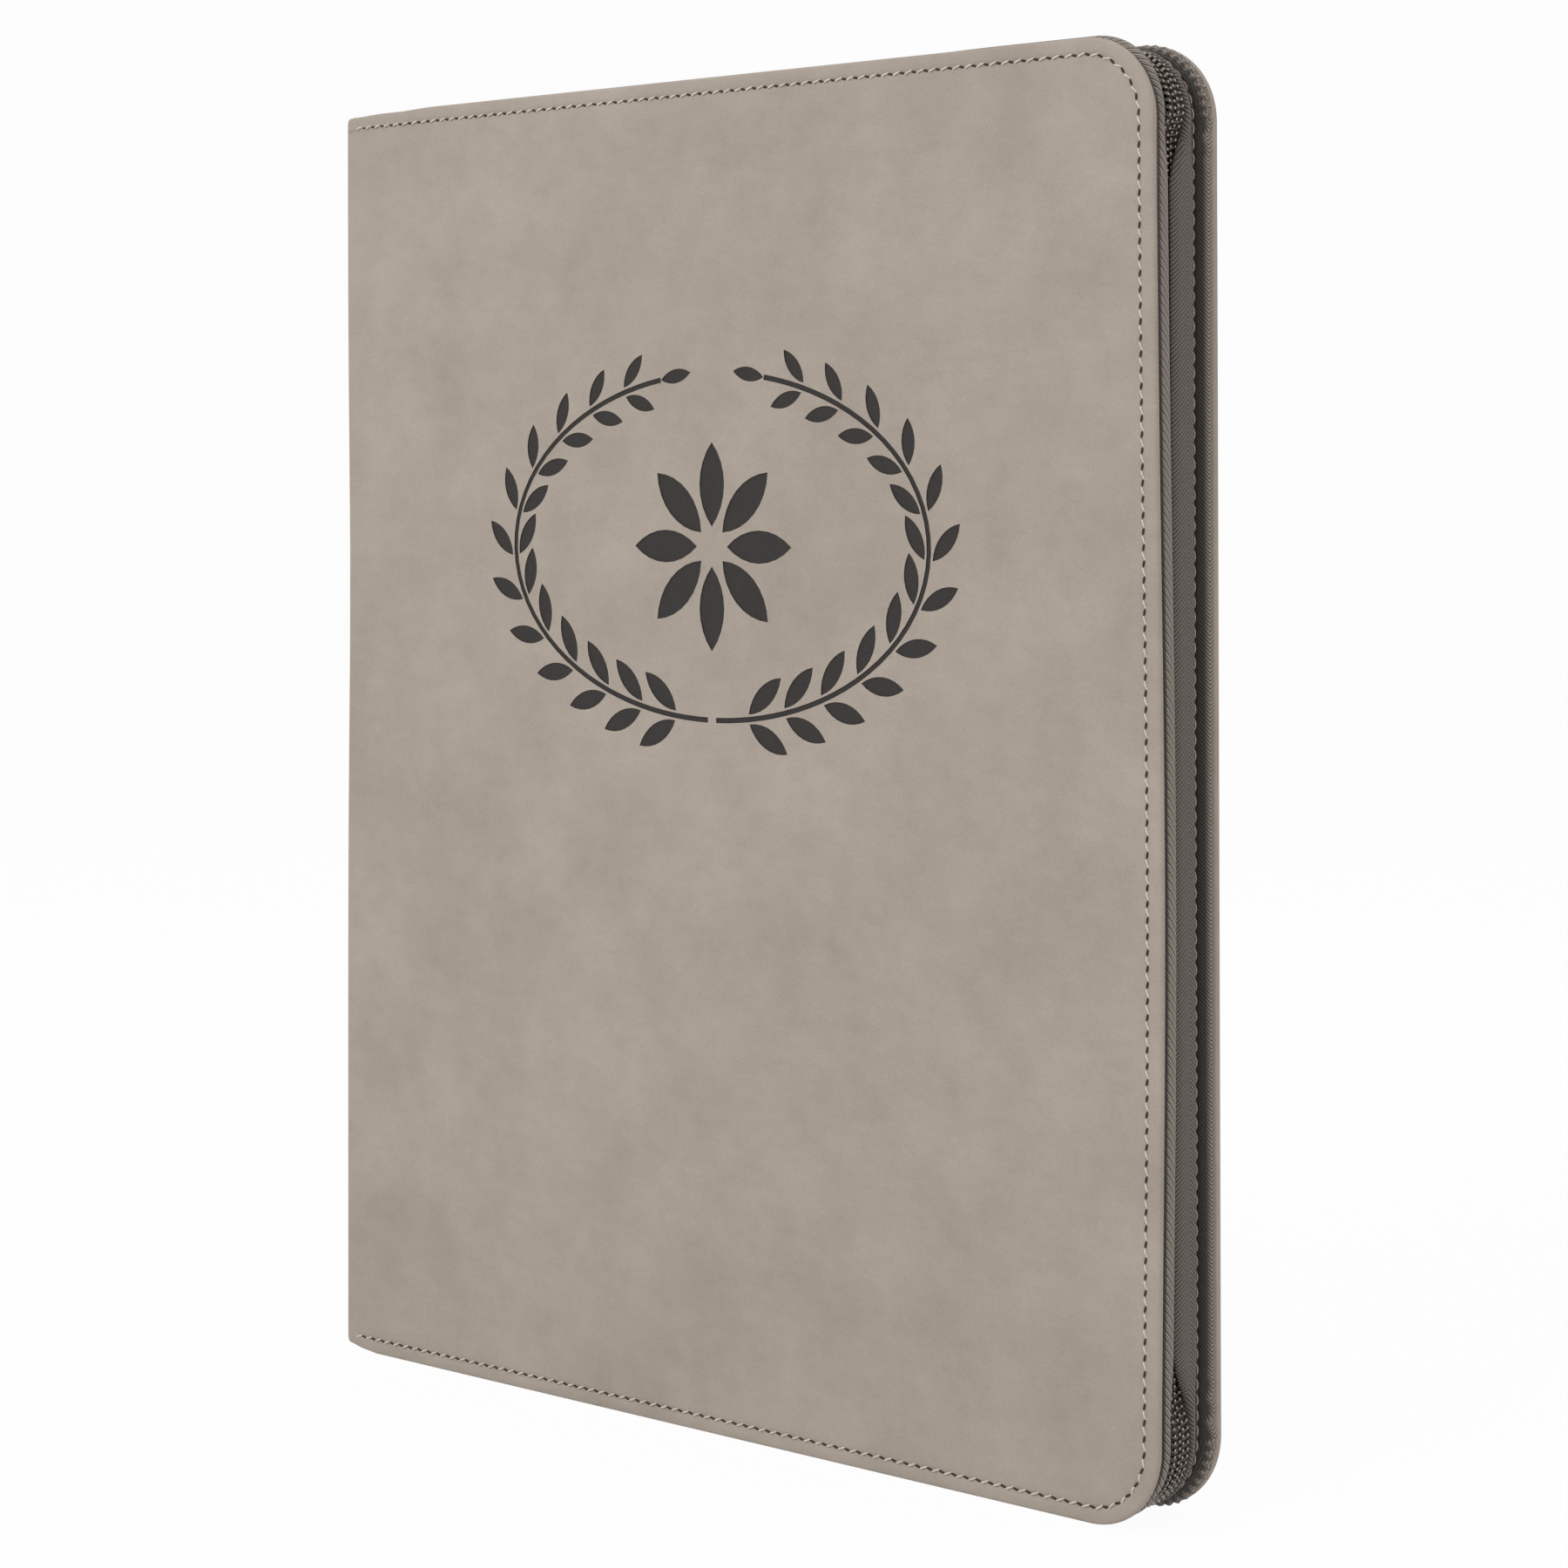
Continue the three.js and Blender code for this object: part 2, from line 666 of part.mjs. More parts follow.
// An oval loop that a pen is pushed through
function penLoopSleeve() {
  const ring = (width, depth) => {
    const shape = new THREE.Shape();
    shape.absellipse(0, 0, width / 2, depth / 2, 0, 2 * Math.PI, false, 0);
    return shape;
  };
  const shape = ring(penLoopWidth, penLoopDepth);
  shape.holes.push(ring(penLoopWidth - 2 * penLoopWall, penLoopDepth - 2 * penLoopWall));
  const geometry = new THREE.ExtrudeGeometry(shape, {
    depth: penLoopLength, curveSegments: 14, bevelEnabled: false });
  return geometry.rotateX(-Math.PI / 2);
}

function frontPanel(x0, y0, x1, y1, layer) {
  const z1 = front - coverDepth - panelGap - layer * (pocketPanel + panelGap);
  return slab(rectangle(x0, y0, x1, y1), z1 - pocketPanel, z1);
}

// The portfolio

const portfolio = new THREE.Group();
const view = new THREE.Group();
view.rotation.x = Math.PI / 2;
portfolio.add(view);

function add(name, geometry, material, x = 0, y = 0, z = 0) {
  const mesh = new THREE.Mesh(geometry, material);
  mesh.name = name;
  mesh.position.set(x, y, z);
  view.add(mesh);
}

const boardStart = -halfWidth + foldMargin;
const liningStart = -halfWidth + skinThickness + layerGap + liningThickness + fitGap;
const boardDepth = skinThickness + layerGap;
const liningDepth = boardDepth + boardThickness + layerGap;

for (const [name, side] of [['front', 1], ['back', -1]]) {
  const engraving = side > 0 ? ornament() : [];
  add(`${name}_cover`, coverSkin(side, ...engraving), materials.leatherette);
  const board = coverLayer(side, boardDepth, boardDepth + boardThickness, boardStart);
  const lining = coverLayer(side, liningDepth, liningDepth + liningThickness, liningStart);
  add(`${name}_board`, board, materials.card);
  add(`${name}_lining`, lining, materials.lining);
  add(`${name}_seam`, seamThread(side), materials.thread);
}

add('spine_cover', spineSkin(), materials.leatherette);
add('spine_lining', spineLiningSheet(), materials.lining);
add('spine_lower_seam', spineThread(seamInset), materials.thread);
add('spine_upper_seam', spineThread(coverHeight - seamInset), materials.thread);

add('back_gusset', foldedTape(gusset, backTapeStart), materials.tape);
add('back_zip_tape', foldedTape(backTape, backTapeStart), materials.tape);
add('front_zip_tape', foldedTape(frontTape, frontTapeStart), materials.tape);
const backCoilStart = backTapeStart + coilSetback;
add('back_zip_coil', coil(1, backCoilStart), materials.coil);
add('front_zip_coil', coil(-1, frontTapeStart), materials.coil);
const stopX = -halfWidth + backCoilStart - fitGap - stopLength;
add('upper_zip_stop', zipStop(), materials.metal, stopX, coverHeight);
add('lower_zip_stop', zipStop(), materials.metal, stopX, coilTop + coilBase);

const sliderX = -halfWidth + sliderStart;
add('zip_slider', sliderBody(), materials.metal, sliderX, coverHeight, front - zipDepth);
add('zip_pull', pullTab(), materials.metal, sliderX, coverHeight - pullAxisDown, front - zipDepth);

add('pad_backing', slab(rectangle(padLeft, padLift, padRight, padTop), padBack, padBack + padBacking),
  materials.card);
add('pad_pocket', padPocketPanel(), materials.lining);
add('pad_sheets', padSheetBlock(), materials.paper);
add('pad_binding', padBindingStrip(), materials.lining);
const penLoopX = padLeft - pocketMargin / 2 - penLoopWidth / 2;
add('pen_loop', penLoopSleeve(), materials.tape, penLoopX, (coverHeight - penLoopLength) / 2,
  back + coverDepth + fitGap + penLoopDepth / 2);

const panelLeft = -halfWidth + frontPocketMargin;
const panelRight = halfWidth - frontPocketMargin;
const cardPockets = ['back', 'middle', 'front'];
const cardPocketStack = cardPocketHeight + (cardPockets.length - 1) * cardPocketStep;
const cardPocketBase = coverHeight - cardPocketDrop - cardPocketStack;
const documentPocketTop = cardPocketBase - pocketSpacing;
const documentPocket = frontPanel(panelLeft, frontPocketMargin, panelRight, documentPocketTop, 0);
add('document_pocket', documentPocket, materials.lining);
cardPockets.forEach((name, i) => {
  const top = coverHeight - cardPocketDrop - i * cardPocketStep;
  add(`card_pocket_${name}`, frontPanel(panelLeft, cardPocketBase, panelLeft + cardPocketWidth, top, i),
    materials.lining);
});

export default portfolio;
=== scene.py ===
# %% [markdown]
# # A zippered portfolio
# The portfolio stands closed on its lower edges: two stiff leatherette covers, a soft spine, and a
# coil zip whose woven tapes fold over it along the long side. The CAD model gives every size and
# place, and this script gives each piece its surface.

# %% Load the frame
import json
import math

import bmesh
import bpy
from mathutils import Matrix, Vector

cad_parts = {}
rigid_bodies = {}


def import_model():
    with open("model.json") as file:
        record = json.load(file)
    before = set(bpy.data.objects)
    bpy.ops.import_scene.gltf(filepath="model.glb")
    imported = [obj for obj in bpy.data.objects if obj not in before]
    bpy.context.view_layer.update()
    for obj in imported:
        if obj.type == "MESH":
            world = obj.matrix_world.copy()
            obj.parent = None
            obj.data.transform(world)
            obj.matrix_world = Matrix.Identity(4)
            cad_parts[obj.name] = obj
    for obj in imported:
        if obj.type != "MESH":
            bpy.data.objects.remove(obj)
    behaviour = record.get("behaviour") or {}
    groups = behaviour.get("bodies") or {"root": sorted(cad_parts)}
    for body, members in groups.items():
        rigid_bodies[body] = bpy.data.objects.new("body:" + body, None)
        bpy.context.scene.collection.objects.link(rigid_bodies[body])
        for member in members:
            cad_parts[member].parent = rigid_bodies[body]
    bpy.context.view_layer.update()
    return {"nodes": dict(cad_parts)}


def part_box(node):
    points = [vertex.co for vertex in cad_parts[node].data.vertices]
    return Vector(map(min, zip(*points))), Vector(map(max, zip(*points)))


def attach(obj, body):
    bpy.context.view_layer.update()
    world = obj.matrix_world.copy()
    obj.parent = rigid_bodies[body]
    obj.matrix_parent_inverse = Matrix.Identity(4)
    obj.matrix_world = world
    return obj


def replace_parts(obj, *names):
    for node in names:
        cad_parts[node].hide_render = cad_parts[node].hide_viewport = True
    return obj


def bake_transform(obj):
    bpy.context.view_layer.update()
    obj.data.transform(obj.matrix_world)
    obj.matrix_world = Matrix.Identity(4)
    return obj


for leftover in list(bpy.data.objects):
    bpy.data.objects.remove(leftover)
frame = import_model()

# %% [markdown]
# ## Sizes
# Everything is modelled as it is seen from the front, x to the right, y up and z towards the viewer,
# because a cover is then a flat drawing. `stand_up` turns each finished piece into the frame's own
# axes. All lengths are in metres, so `mm` keeps them readable.

# %% Sizes taken from the frame
mm = 0.001
cover_low, cover_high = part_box("front_cover")
half_width = cover_high.x
height = cover_high.z
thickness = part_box("back_cover")[1].y - cover_low.y
front = thickness / 2
corner_radius = 17 * mm
zip_middle = (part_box("front_zip_coil")[1].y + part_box("back_zip_coil")[0].y) / 2
zip_depth = zip_middle - cover_low.y
seam_inset = 3.6 * mm
fold_radius = 1.2 * mm
print("cover", round(2 * half_width / mm, 1), round(height / mm, 1), "thick", round(thickness / mm, 1))

# %% Small helpers for modelling
def deselect():
    bpy.ops.object.select_all(action="DESELECT")


def activate(piece):
    deselect()
    piece.select_set(True)
    bpy.context.view_layer.objects.active = piece


def new_piece(name, data):
    piece = bpy.data.objects.new(name, data)
    bpy.context.collection.objects.link(piece)
    return piece


def apply_place():
    """Puts the place, turn and size of the selected piece into its mesh"""
    bpy.ops.object.transform_apply(location=True, rotation=True, scale=True)


def edit_all(piece):
    """Enters edit mode with the whole piece selected"""
    activate(piece)
    bpy.ops.object.mode_set(mode="EDIT")
    bpy.ops.mesh.select_all(action="SELECT")


def leave_edit():
    bpy.ops.object.mode_set(mode="OBJECT")


def apply_modifiers(piece):
    activate(piece)
    for modifier in list(piece.modifiers):
        bpy.ops.object.modifier_apply(modifier=modifier.name)


def select_edges(piece, test):
    """Selects the edges, in edit mode, whose two ends pass the test"""
    bpy.ops.mesh.select_mode(type="EDGE")
    bpy.ops.mesh.select_all(action="DESELECT")
    mesh = bmesh.from_edit_mesh(piece.data)
    for edge in mesh.edges:
        if all(test(corner.co) for corner in edge.verts):
            edge.select_set(True)
    bmesh.update_edit_mesh(piece.data)


def ease(value, start, end):
    """Goes smoothly from 0 at the start to 1 at the end"""
    t = min(max((value - start) / (end - start), 0), 1)
    return t * t * (3 - 2 * t)


def belly(y, peak, width, low, high):
    """How far a long edge stands out at a height: high at its peak, low towards the ends"""
    return low + (high - low) * math.exp(-(((y / height - peak) / width) ** 2))


def spine_bow(y):
    return belly(y, 0.62, 0.16, -0.8 * mm, 0)


def bow_out(piece, ends=-1.0 * mm, middle=0.7 * mm):
    """The long edge of a cover isn't quite straight, and all that is sewn there follows"""
    for vertex in piece.data.vertices:
        co = vertex.co
        share = ease(co.x, 0, half_width - 12 * mm)
        co.x += share * belly(co.y, 0.42, 0.33, ends, middle)
    return piece


def stand_up(piece):
    """Turns a piece from the front view into the frame, where up is +Z"""
    activate(piece)
    piece.rotation_euler = (math.pi / 2, 0, 0)
    apply_place()
    return piece


def faces_outward(piece):
    edit_all(piece)
    bpy.ops.mesh.normals_make_consistent(inside=False)
    leave_edit()


def smooth(piece, angle=40):
    activate(piece)
    bpy.ops.object.shade_smooth_by_angle(angle=math.radians(angle))


def paint(piece, material):
    piece.data.materials.clear()
    piece.data.materials.append(material)


# %% [markdown]
# ## Materials
# A colour is written as it reads on screen, and `srgb` turns it into the linear light that the
# shader wants. Each finish is one node tree: a principled shader, noise for the colour, and a bump
# for the surface.

# %% Helpers for node trees
def srgb(red, green, blue):
    return tuple((c / 255 / 12.92) if c <= 10 else ((c / 255 + 0.055) / 1.055) ** 2.4
                 for c in (red, green, blue)) + (1,)


class Finish:
    """A node tree with short words for the nodes that the finishes below use"""

    def __init__(self, name, roughness=0.8, metallic=0.0, **sockets):
        self.material = bpy.data.materials.new(name)
        self.material.use_nodes = True
        self.tree = self.material.node_tree
        self.shader = self.tree.nodes["Principled BSDF"]
        self.shader.inputs["Roughness"].default_value = roughness
        self.shader.inputs["Metallic"].default_value = metallic
        for socket, value in sockets.items():
            self.shader.inputs[socket.replace("_", " ")].default_value = value
        self.place = self.add("ShaderNodeTexCoord").outputs["Object"]

    def add(self, kind, **values):
        node = self.tree.nodes.new(kind)
        for key, value in values.items():
            setattr(node, key, value)
        return node

    def link(self, output, socket):
        self.tree.links.new(output, socket)

    def feed(self, node, index, value):
        if isinstance(value, bpy.types.NodeSocket):
            self.link(value, node.inputs[index])
        else:
            node.inputs[index].default_value = value

    def math(self, operation, a, b=0.0, c=0.0):
        node = self.add("ShaderNodeMath", operation=operation)
        for index, value in enumerate((a, b, c)):
            self.feed(node, index, value)
        return node.outputs[0]

    def noise(self, size, detail=3.0, roughness=0.55, place=None, stretch=(1, 1, 1)):
        scaled = self.add("ShaderNodeMapping")
        scaled.inputs["Scale"].default_value = stretch
        self.link(place or self.place, scaled.inputs["Vector"])
        node = self.add("ShaderNodeTexNoise")
        node.inputs["Scale"].default_value = 1 / size
        node.inputs["Detail"].default_value = detail
        node.inputs["Roughness"].default_value = roughness
        self.link(scaled.outputs[0], node.inputs["Vector"])
        return node.outputs["Fac"]

    def ramp(self, value, low, high, start=0.3, end=0.7):
        node = self.add("ShaderNodeValToRGB")
        node.color_ramp.elements[0].position = start
        node.color_ramp.elements[0].color = low
        node.color_ramp.elements[1].position = end
        node.color_ramp.elements[1].color = high
        self.link(value, node.inputs[0])
        return node.outputs[0]

    def mix(self, factor, a, b):
        node = self.add("ShaderNodeMix", data_type="RGBA")
        self.feed(node, 0, factor)
        self.feed(node, 6, a)
        self.feed(node, 7, b)
        return node.outputs[2]

    def bump(self, value, distance, strength=1.0, under=None):
        node = self.add("ShaderNodeBump")
        node.inputs["Distance"].default_value = distance
        node.inputs["Strength"].default_value = strength
        self.link(value, node.inputs["Height"])
        if under:
            self.link(under, node.inputs["Normal"])
        return node.outputs[0]

    def done(self, colour, normal=None):
        self.feed(self.shader, "Base Color", colour)
        if normal:
            self.link(normal, self.shader.inputs["Normal"])
        return self.material


# %% Leatherette, engraving and thread
def leatherette():
    finish = Finish("leatherette", roughness=0.82, Sheen_Weight=0.12, Sheen_Roughness=0.6)
    clouds = finish.noise(26 * mm, detail=5, roughness=0.62)
    colour = finish.ramp(clouds, srgb(151, 139, 128), srgb(169, 157, 145), 0.34, 0.68)
    streaks = finish.noise(6 * mm, detail=3, stretch=(1, 1, 1.8))
    colour = finish.mix(0.16, colour, finish.ramp(streaks, srgb(142, 131, 121), srgb(176, 164, 152)))
    nap = finish.noise(0.55 * mm, detail=3, roughness=0.6)
    colour = finish.mix(0.22, colour, finish.ramp(nap, srgb(140, 128, 117), srgb(178, 166, 154), 0.3, 0.72))
    pores = finish.bump(nap, 0.06 * mm, 0.7)
    return finish.done(colour, finish.bump(streaks, 0.12 * mm, 0.35, pores))


def engraving():
    finish = Finish("engraving", roughness=0.75)
    grain = finish.noise(0.4 * mm, detail=2)
    colour = finish.ramp(grain, srgb(29, 25, 23), srgb(43, 38, 34))
    return finish.done(colour, finish.bump(grain, 0.05 * mm, 0.6))


def sewing_thread():
    finish = Finish("sewing_thread", roughness=0.5, Sheen_Weight=0.2)
    twist = finish.noise(0.25 * mm, detail=1)
    colour = finish.ramp(twist, srgb(178, 166, 151), srgb(228, 218, 203))
    return finish.done(colour, finish.bump(twist, 0.04 * mm))


def plain(name, colour, roughness=0.8):
    finish = Finish(name, roughness=roughness)
    grain = finish.noise(0.5 * mm, detail=2)
    darker = tuple(0.82 * c for c in colour[:3]) + (1,)
    return finish.done(finish.ramp(grain, darker, colour), finish.bump(grain, 0.03 * mm, 0.5))


# %% Woven tape, nylon and metal
# Painted shade: the colour of the shade deep in a tape's fold, not a colour of the cloth.
painted_fold_shade = srgb(21, 17, 15)


def woven_tape(name, lean, light, dark, pitch, apex=None, cross=0.0, coarse=0.0, inside=None):
    """Twill ribs that climb by lean for each metre across, and turn at the apex where the weave is a
    herringbone. Finer ribs cross them beyond the apex, and every second rib may be coarser. Across the
    two places of inside, shade is painted into the colour: the tape goes darker, as the shade deep in its
    fold. The UV map holds metres along the zip and metres across."""
    finish = Finish(name, roughness=0.72, Sheen_Weight=0.2, Sheen_Roughness=0.5)
    uv = finish.add("ShaderNodeUVMap", uv_map="weave").outputs[0]
    split = finish.add("ShaderNodeSeparateXYZ")
    finish.link(uv, split.inputs[0])
    along, across = split.outputs[0], split.outputs[1]
    wander = finish.math("MULTIPLY", finish.math("SUBTRACT", finish.noise(5 * mm, detail=1), 0.5), 0.5 * mm)
    off = finish.math("SUBTRACT", across, apex or 0.0)
    reach = off if apex is None else finish.math("ABSOLUTE", off)
    climb = finish.math("ADD", finish.math("MULTIPLY", reach, lean), wander)
    phase = finish.math("SUBTRACT", along, climb)
    rib = finish.math("SINE", finish.math("MULTIPLY", phase, 2 * math.pi / pitch))
    broad = finish.math("SINE", finish.math("MULTIPLY", phase, math.pi / pitch))
    relief = finish.math("MULTIPLY_ADD", broad, coarse, rib)
    if cross:
        other = finish.math("ADD", along, finish.math("MULTIPLY", climb, 0.8))
        hatch = finish.math("SINE", finish.math("MULTIPLY", other, 2 * math.pi / (0.62 * pitch)))
        beyond = finish.math("GREATER_THAN", off, 0.0)
        relief = finish.math("MULTIPLY_ADD", hatch, finish.math("MULTIPLY", beyond, cross), relief)
    lift = finish.math("MULTIPLY_ADD", relief, 0.4, 0.5)
    fuzz = finish.noise(0.32 * mm, detail=2)
    tone = finish.math("MULTIPLY_ADD", finish.math("SUBTRACT", fuzz, 0.5), 0.6, lift)
    colour = finish.ramp(tone, dark, light, 0.1, 0.9)
    # Painted shade: across the two places of inside, the colour goes darker, as the shade in the fold.
    if inside:
        start, end = inside
        depth = finish.add("ShaderNodeMapRange", clamp=True)
        for index, value in enumerate((across, start, end, 0.0, 0.85)):
            finish.feed(depth, index, value)
        colour = finish.mix(depth.outputs[0], colour, painted_fold_shade)
    return finish.done(colour, finish.bump(lift, 0.2 * mm, 0.8))


def nylon():
    finish = Finish("coil_nylon", roughness=0.38)
    grain = finish.noise(0.8 * mm, detail=1)
    return finish.done(finish.ramp(grain, srgb(58, 51, 45), srgb(88, 79, 71)))


def dark_nickel():
    finish = Finish("dark_nickel", roughness=0.32, metallic=1.0)
    brushed = finish.noise(0.4 * mm, detail=2, stretch=(0.12, 1, 1))
    colour = finish.ramp(brushed, srgb(104, 100, 96), srgb(138, 134, 129))
    return finish.done(colour, finish.bump(brushed, 0.01 * mm, 0.4))


skin_material = leatherette()
engraved_material = engraving()
thread_material = sewing_thread()
# Painted shade: the dark of the shade inside a needle hole.
hole_shade_material = plain("needle_hole_shade", srgb(46, 37, 31))
tape_thread_material = plain("tape_thread", srgb(162, 138, 125), 0.6)
# Light beads on the coil: sewing thread, and also painted highlights of the turns' gloss.
sewing_and_highlight_material = plain("coil_sewing_and_highlight", srgb(186, 174, 160), 0.5)
# Each tape's inside pair marks where shade is painted: behind the front cover's edge on the front tape, at
# the back tape's foot and groove, and in the gusset's valley.
front_tape_material = woven_tape("front_tape", 1.3, srgb(160, 148, 136), srgb(66, 57, 50), 0.93 * mm,
                                 coarse=0.6, inside=(6.7 * mm, 6.3 * mm))
back_tape_material = woven_tape("back_tape", 0.9, srgb(115, 104, 96), srgb(47, 40, 35), 0.95 * mm,
                                apex=6.9 * mm, cross=0.7, inside=(4.1 * mm, 3.5 * mm))
gusset_material = woven_tape("gusset_tape", -1.1, srgb(156, 144, 132), srgb(74, 64, 57), 0.85 * mm,
                             apex=8.0 * mm, inside=(8.1 * mm, 9.1 * mm))
coil_material = nylon()
metal_material = dark_nickel()

# %% [markdown]
# ## The covers' skin
# On the real portfolio one sheet of leatherette runs over both covers and the spine. It is turned
# round the board's edge and sewn a little inside it, which pulls a shallow valley along the seam and
# leaves a soft roll outside it. An inset with a depth draws exactly such a profile on three sides at
# once. A cover of double width is inset, then bisected at the fold, so that the fold's end stays
# open, and the cut edge is spun round the fold and carried to the middle of the spine.

# %% The profile of the turned edge
turned_edge = [  # inset and rise of each step, from the outermost line to the flat of the cover
    (0.08, 0.36), (0.2, 0.3), (0.34, 0.2), (0.5, 0.1), (0.7, 0.06), (0.64, -0.03),
    (0.5, -0.12), (0.28, -0.15), (0.28, -0.08), (0.28, 0.08), (0.35, 0.14), (0.6, 0.1), (1.2, 0.04),
    (2.0, 0.02),
]
underside = [(0.2, 0.0), (0.25, 0.12), (0.2, 0.3), (0.15, 0.5)]  # drop and way in of each step
rise = sum(step[1] for step in turned_edge) * mm
spine_cuts = [5, 10, 15, 19, 22, 25, 28, 31, 34, 40, 60]  # millimetres from the spine
level_count = 14
fold_x, fold_z = -half_width + fold_radius, front - fold_radius


def flat_sheet(name, centre, z, wide, tall):
    """A rectangle seen from the front"""
    bpy.ops.mesh.primitive_plane_add(size=1, location=(*centre, z))
    piece = bpy.context.object
    piece.name = name
    piece.scale = (wide, tall, 1)
    apply_place()
    return piece


def inset_steps(steps):
    """Draws a profile inwards from the edge of the face, step by step, in edit mode"""
    bpy.ops.mesh.select_mode(type="FACE")
    bpy.ops.mesh.select_all(action="SELECT")
    for inset, lift in steps:
        bpy.ops.mesh.inset(thickness=inset * mm, depth=lift * mm)


def inset_cover(name):
    piece = flat_sheet(name, (fold_x, height / 2), front - rise, 2 * (half_width - fold_x), height)
    edit_all(piece)
    bpy.ops.mesh.bevel(offset=corner_radius, segments=16, affect="VERTICES")
    inset_steps(turned_edge)
    turn_in(piece)
    leave_edit()
    return piece


def turn_in(piece):
    """Carries the outermost line down the rim and in under it"""
    outline = front - rise
    select_edges(piece, lambda c: abs(c.z - outline) < 0.01 * mm)
    middle = (fold_x, height / 2, 0)
    for drop, inward in underside:
        bpy.ops.mesh.extrude_edges_move(TRANSFORM_OT_translate={"value": (0, 0, -drop * mm)})
        size = (1 - inward * mm / (half_width - fold_x), 1 - 2 * inward * mm / height, 1)
        bpy.ops.transform.resize(value=size, center_override=middle)


def fold_round_spine(piece):
    """Cuts the double cover at the fold, carries its edge round to the spine's middle, and adds cuts"""
    edit_all(piece)
    bpy.ops.mesh.bisect(plane_co=(fold_x, 0, 0), plane_no=(1, 0, 0), clear_inner=True)
    select_edges(piece, lambda c: abs(c.x - fold_x) < 0.01 * mm)
    bpy.ops.mesh.spin(steps=6, angle=math.pi / 2, center=(fold_x, 0, fold_z), axis=(0, 1, 0))
    for step in range(4):
        bpy.ops.mesh.extrude_edges_move(TRANSFORM_OT_translate={"value": (0, 0, -fold_z / 4)})
    cuts = [((-half_width + cut * mm, 0, 0), (1, 0, 0)) for cut in spine_cuts]
    cuts += [((0, height * level / level_count, 0), (0, 1, 0)) for level in range(1, level_count)]
    for place, across in cuts:
        bpy.ops.mesh.select_all(action="SELECT")
        bpy.ops.mesh.bisect(plane_co=place, plane_no=across)
    bpy.ops.mesh.select_all(action="SELECT")
    bpy.ops.mesh.remove_doubles(threshold=0.002 * mm)
    leave_edit()


draw_in, top_tip, foot_tip = 0.4 * mm, 0.5 * mm, 1.4 * mm


def relax_spine_end(piece):
    """The edge draws in beside the spine, the seam is flat on it, and the fold isn't quite straight"""
    for vertex in piece.data.vertices:
        co = vertex.co
        from_spine = co.x + half_width
        from_end = min(co.y, height - co.y)
        if from_spine < fold_radius:
            flat = ease(from_end, 1.4 * mm, 2.2 * mm)
            if co.z > fold_z:
                round_fold = Vector((co.x - fold_x, co.z - fold_z))
                round_fold *= 1 + flat * (fold_radius / round_fold.length - 1)
                co.x, co.z = fold_x + round_fold.x, fold_z + round_fold.y
            else:
                co.x += flat * (-half_width - co.x)
        near_top = ease(co.y, height - 9 * mm, height - 2 * mm)
        near_foot = 1 - ease(co.y, 2 * mm, 9 * mm)
        step = 1 - ease(from_spine, 17 * mm, 29 * mm)
        tip = 1 - ease(from_spine, 0, 12 * mm)
        co.y -= near_top * (draw_in * step + top_tip * tip)
        co.y += near_foot * foot_tip * tip * tip
        co.x += spine_bow(co.y) * (1 - ease(from_spine, 0, 30 * mm))


front_skin = inset_cover("front_skin")
fold_round_spine(front_skin)
relax_spine_end(front_skin)
skin_size = [round(v / mm, 1) for v in front_skin.dimensions]
print("front_skin", len(front_skin.data.polygons), "faces", skin_size)

# %% [markdown]
# The back cover is the same sheet seen in a mirror, so it is copied before anything is cut into the
# front. Both get their thickness from Solidify, inwards from the finished surface.

# %% The back skin, and the thickness of both
skin_thickness = 0.6 * mm
rim_reach = 0.5 * mm


def mirrored(piece, name):
    copy = new_piece(name, piece.data.copy())
    activate(copy)
    copy.scale = (1, 1, -1)
    apply_place()
    return copy


def thicken(piece, depth):
    """Adds the thickness inwards, once the open sheet's faces all point away from the portfolio"""
    faces_outward(piece)
    probe = next(f for f in piece.data.polygons if abs(abs(f.center.z) - front) < 0.2 * mm and f.area > 1e-4)
    if probe.normal.z * probe.center.z < 0:
        edit_all(piece)
        bpy.ops.mesh.flip_normals()
        leave_edit()
    solid = piece.modifiers.new("thickness", "SOLIDIFY")
    solid.thickness = depth
    solid.offset = -1
    apply_modifiers(piece)


def deepen_rim(piece):
    """The back cover's turned edge reaches a little further down to the gusset"""
    edge = front - rise - underside[0][0] * mm
    for vertex in piece.data.vertices:
        if vertex.co.x > -half_width + 4 * mm and abs(vertex.co.z) < edge - 0.01 * mm:
            vertex.co.z += rim_reach


back_skin = mirrored(front_skin, "back_skin")
deepen_rim(back_skin)
back_bow = 0.5 * mm
bow_out(front_skin)
bow_out(back_skin, back_bow, back_bow)
for skin in (front_skin, back_skin):
    thicken(skin, skin_thickness)
print("both skins", round(skin_thickness / mm, 2), "mm thick")

# %% [markdown]
# ## The engraved ornament
# A laser has burnt an oval laurel wreath and an eight-petalled flower into the leatherette: a shallow
# floor of dark brown with crisp edges. Each leaf is a lens, two arcs that meet in points. All the
# leaves are drawn as one flat mesh, extruded into cutters, and taken out of the skin with a boolean
# whose cutters carry the dark finish to the floor that they leave.

# %% Leaves, stems and petals
wreath_width, wreath_rise = 62 * mm, 39 * mm
wreath_middle = height - 105.8 * mm
engraving_depth = 0.2 * mm
petal_count, petal_root, petal_size = 8, 4.5 * mm, (19 * mm, 7.4 * mm)


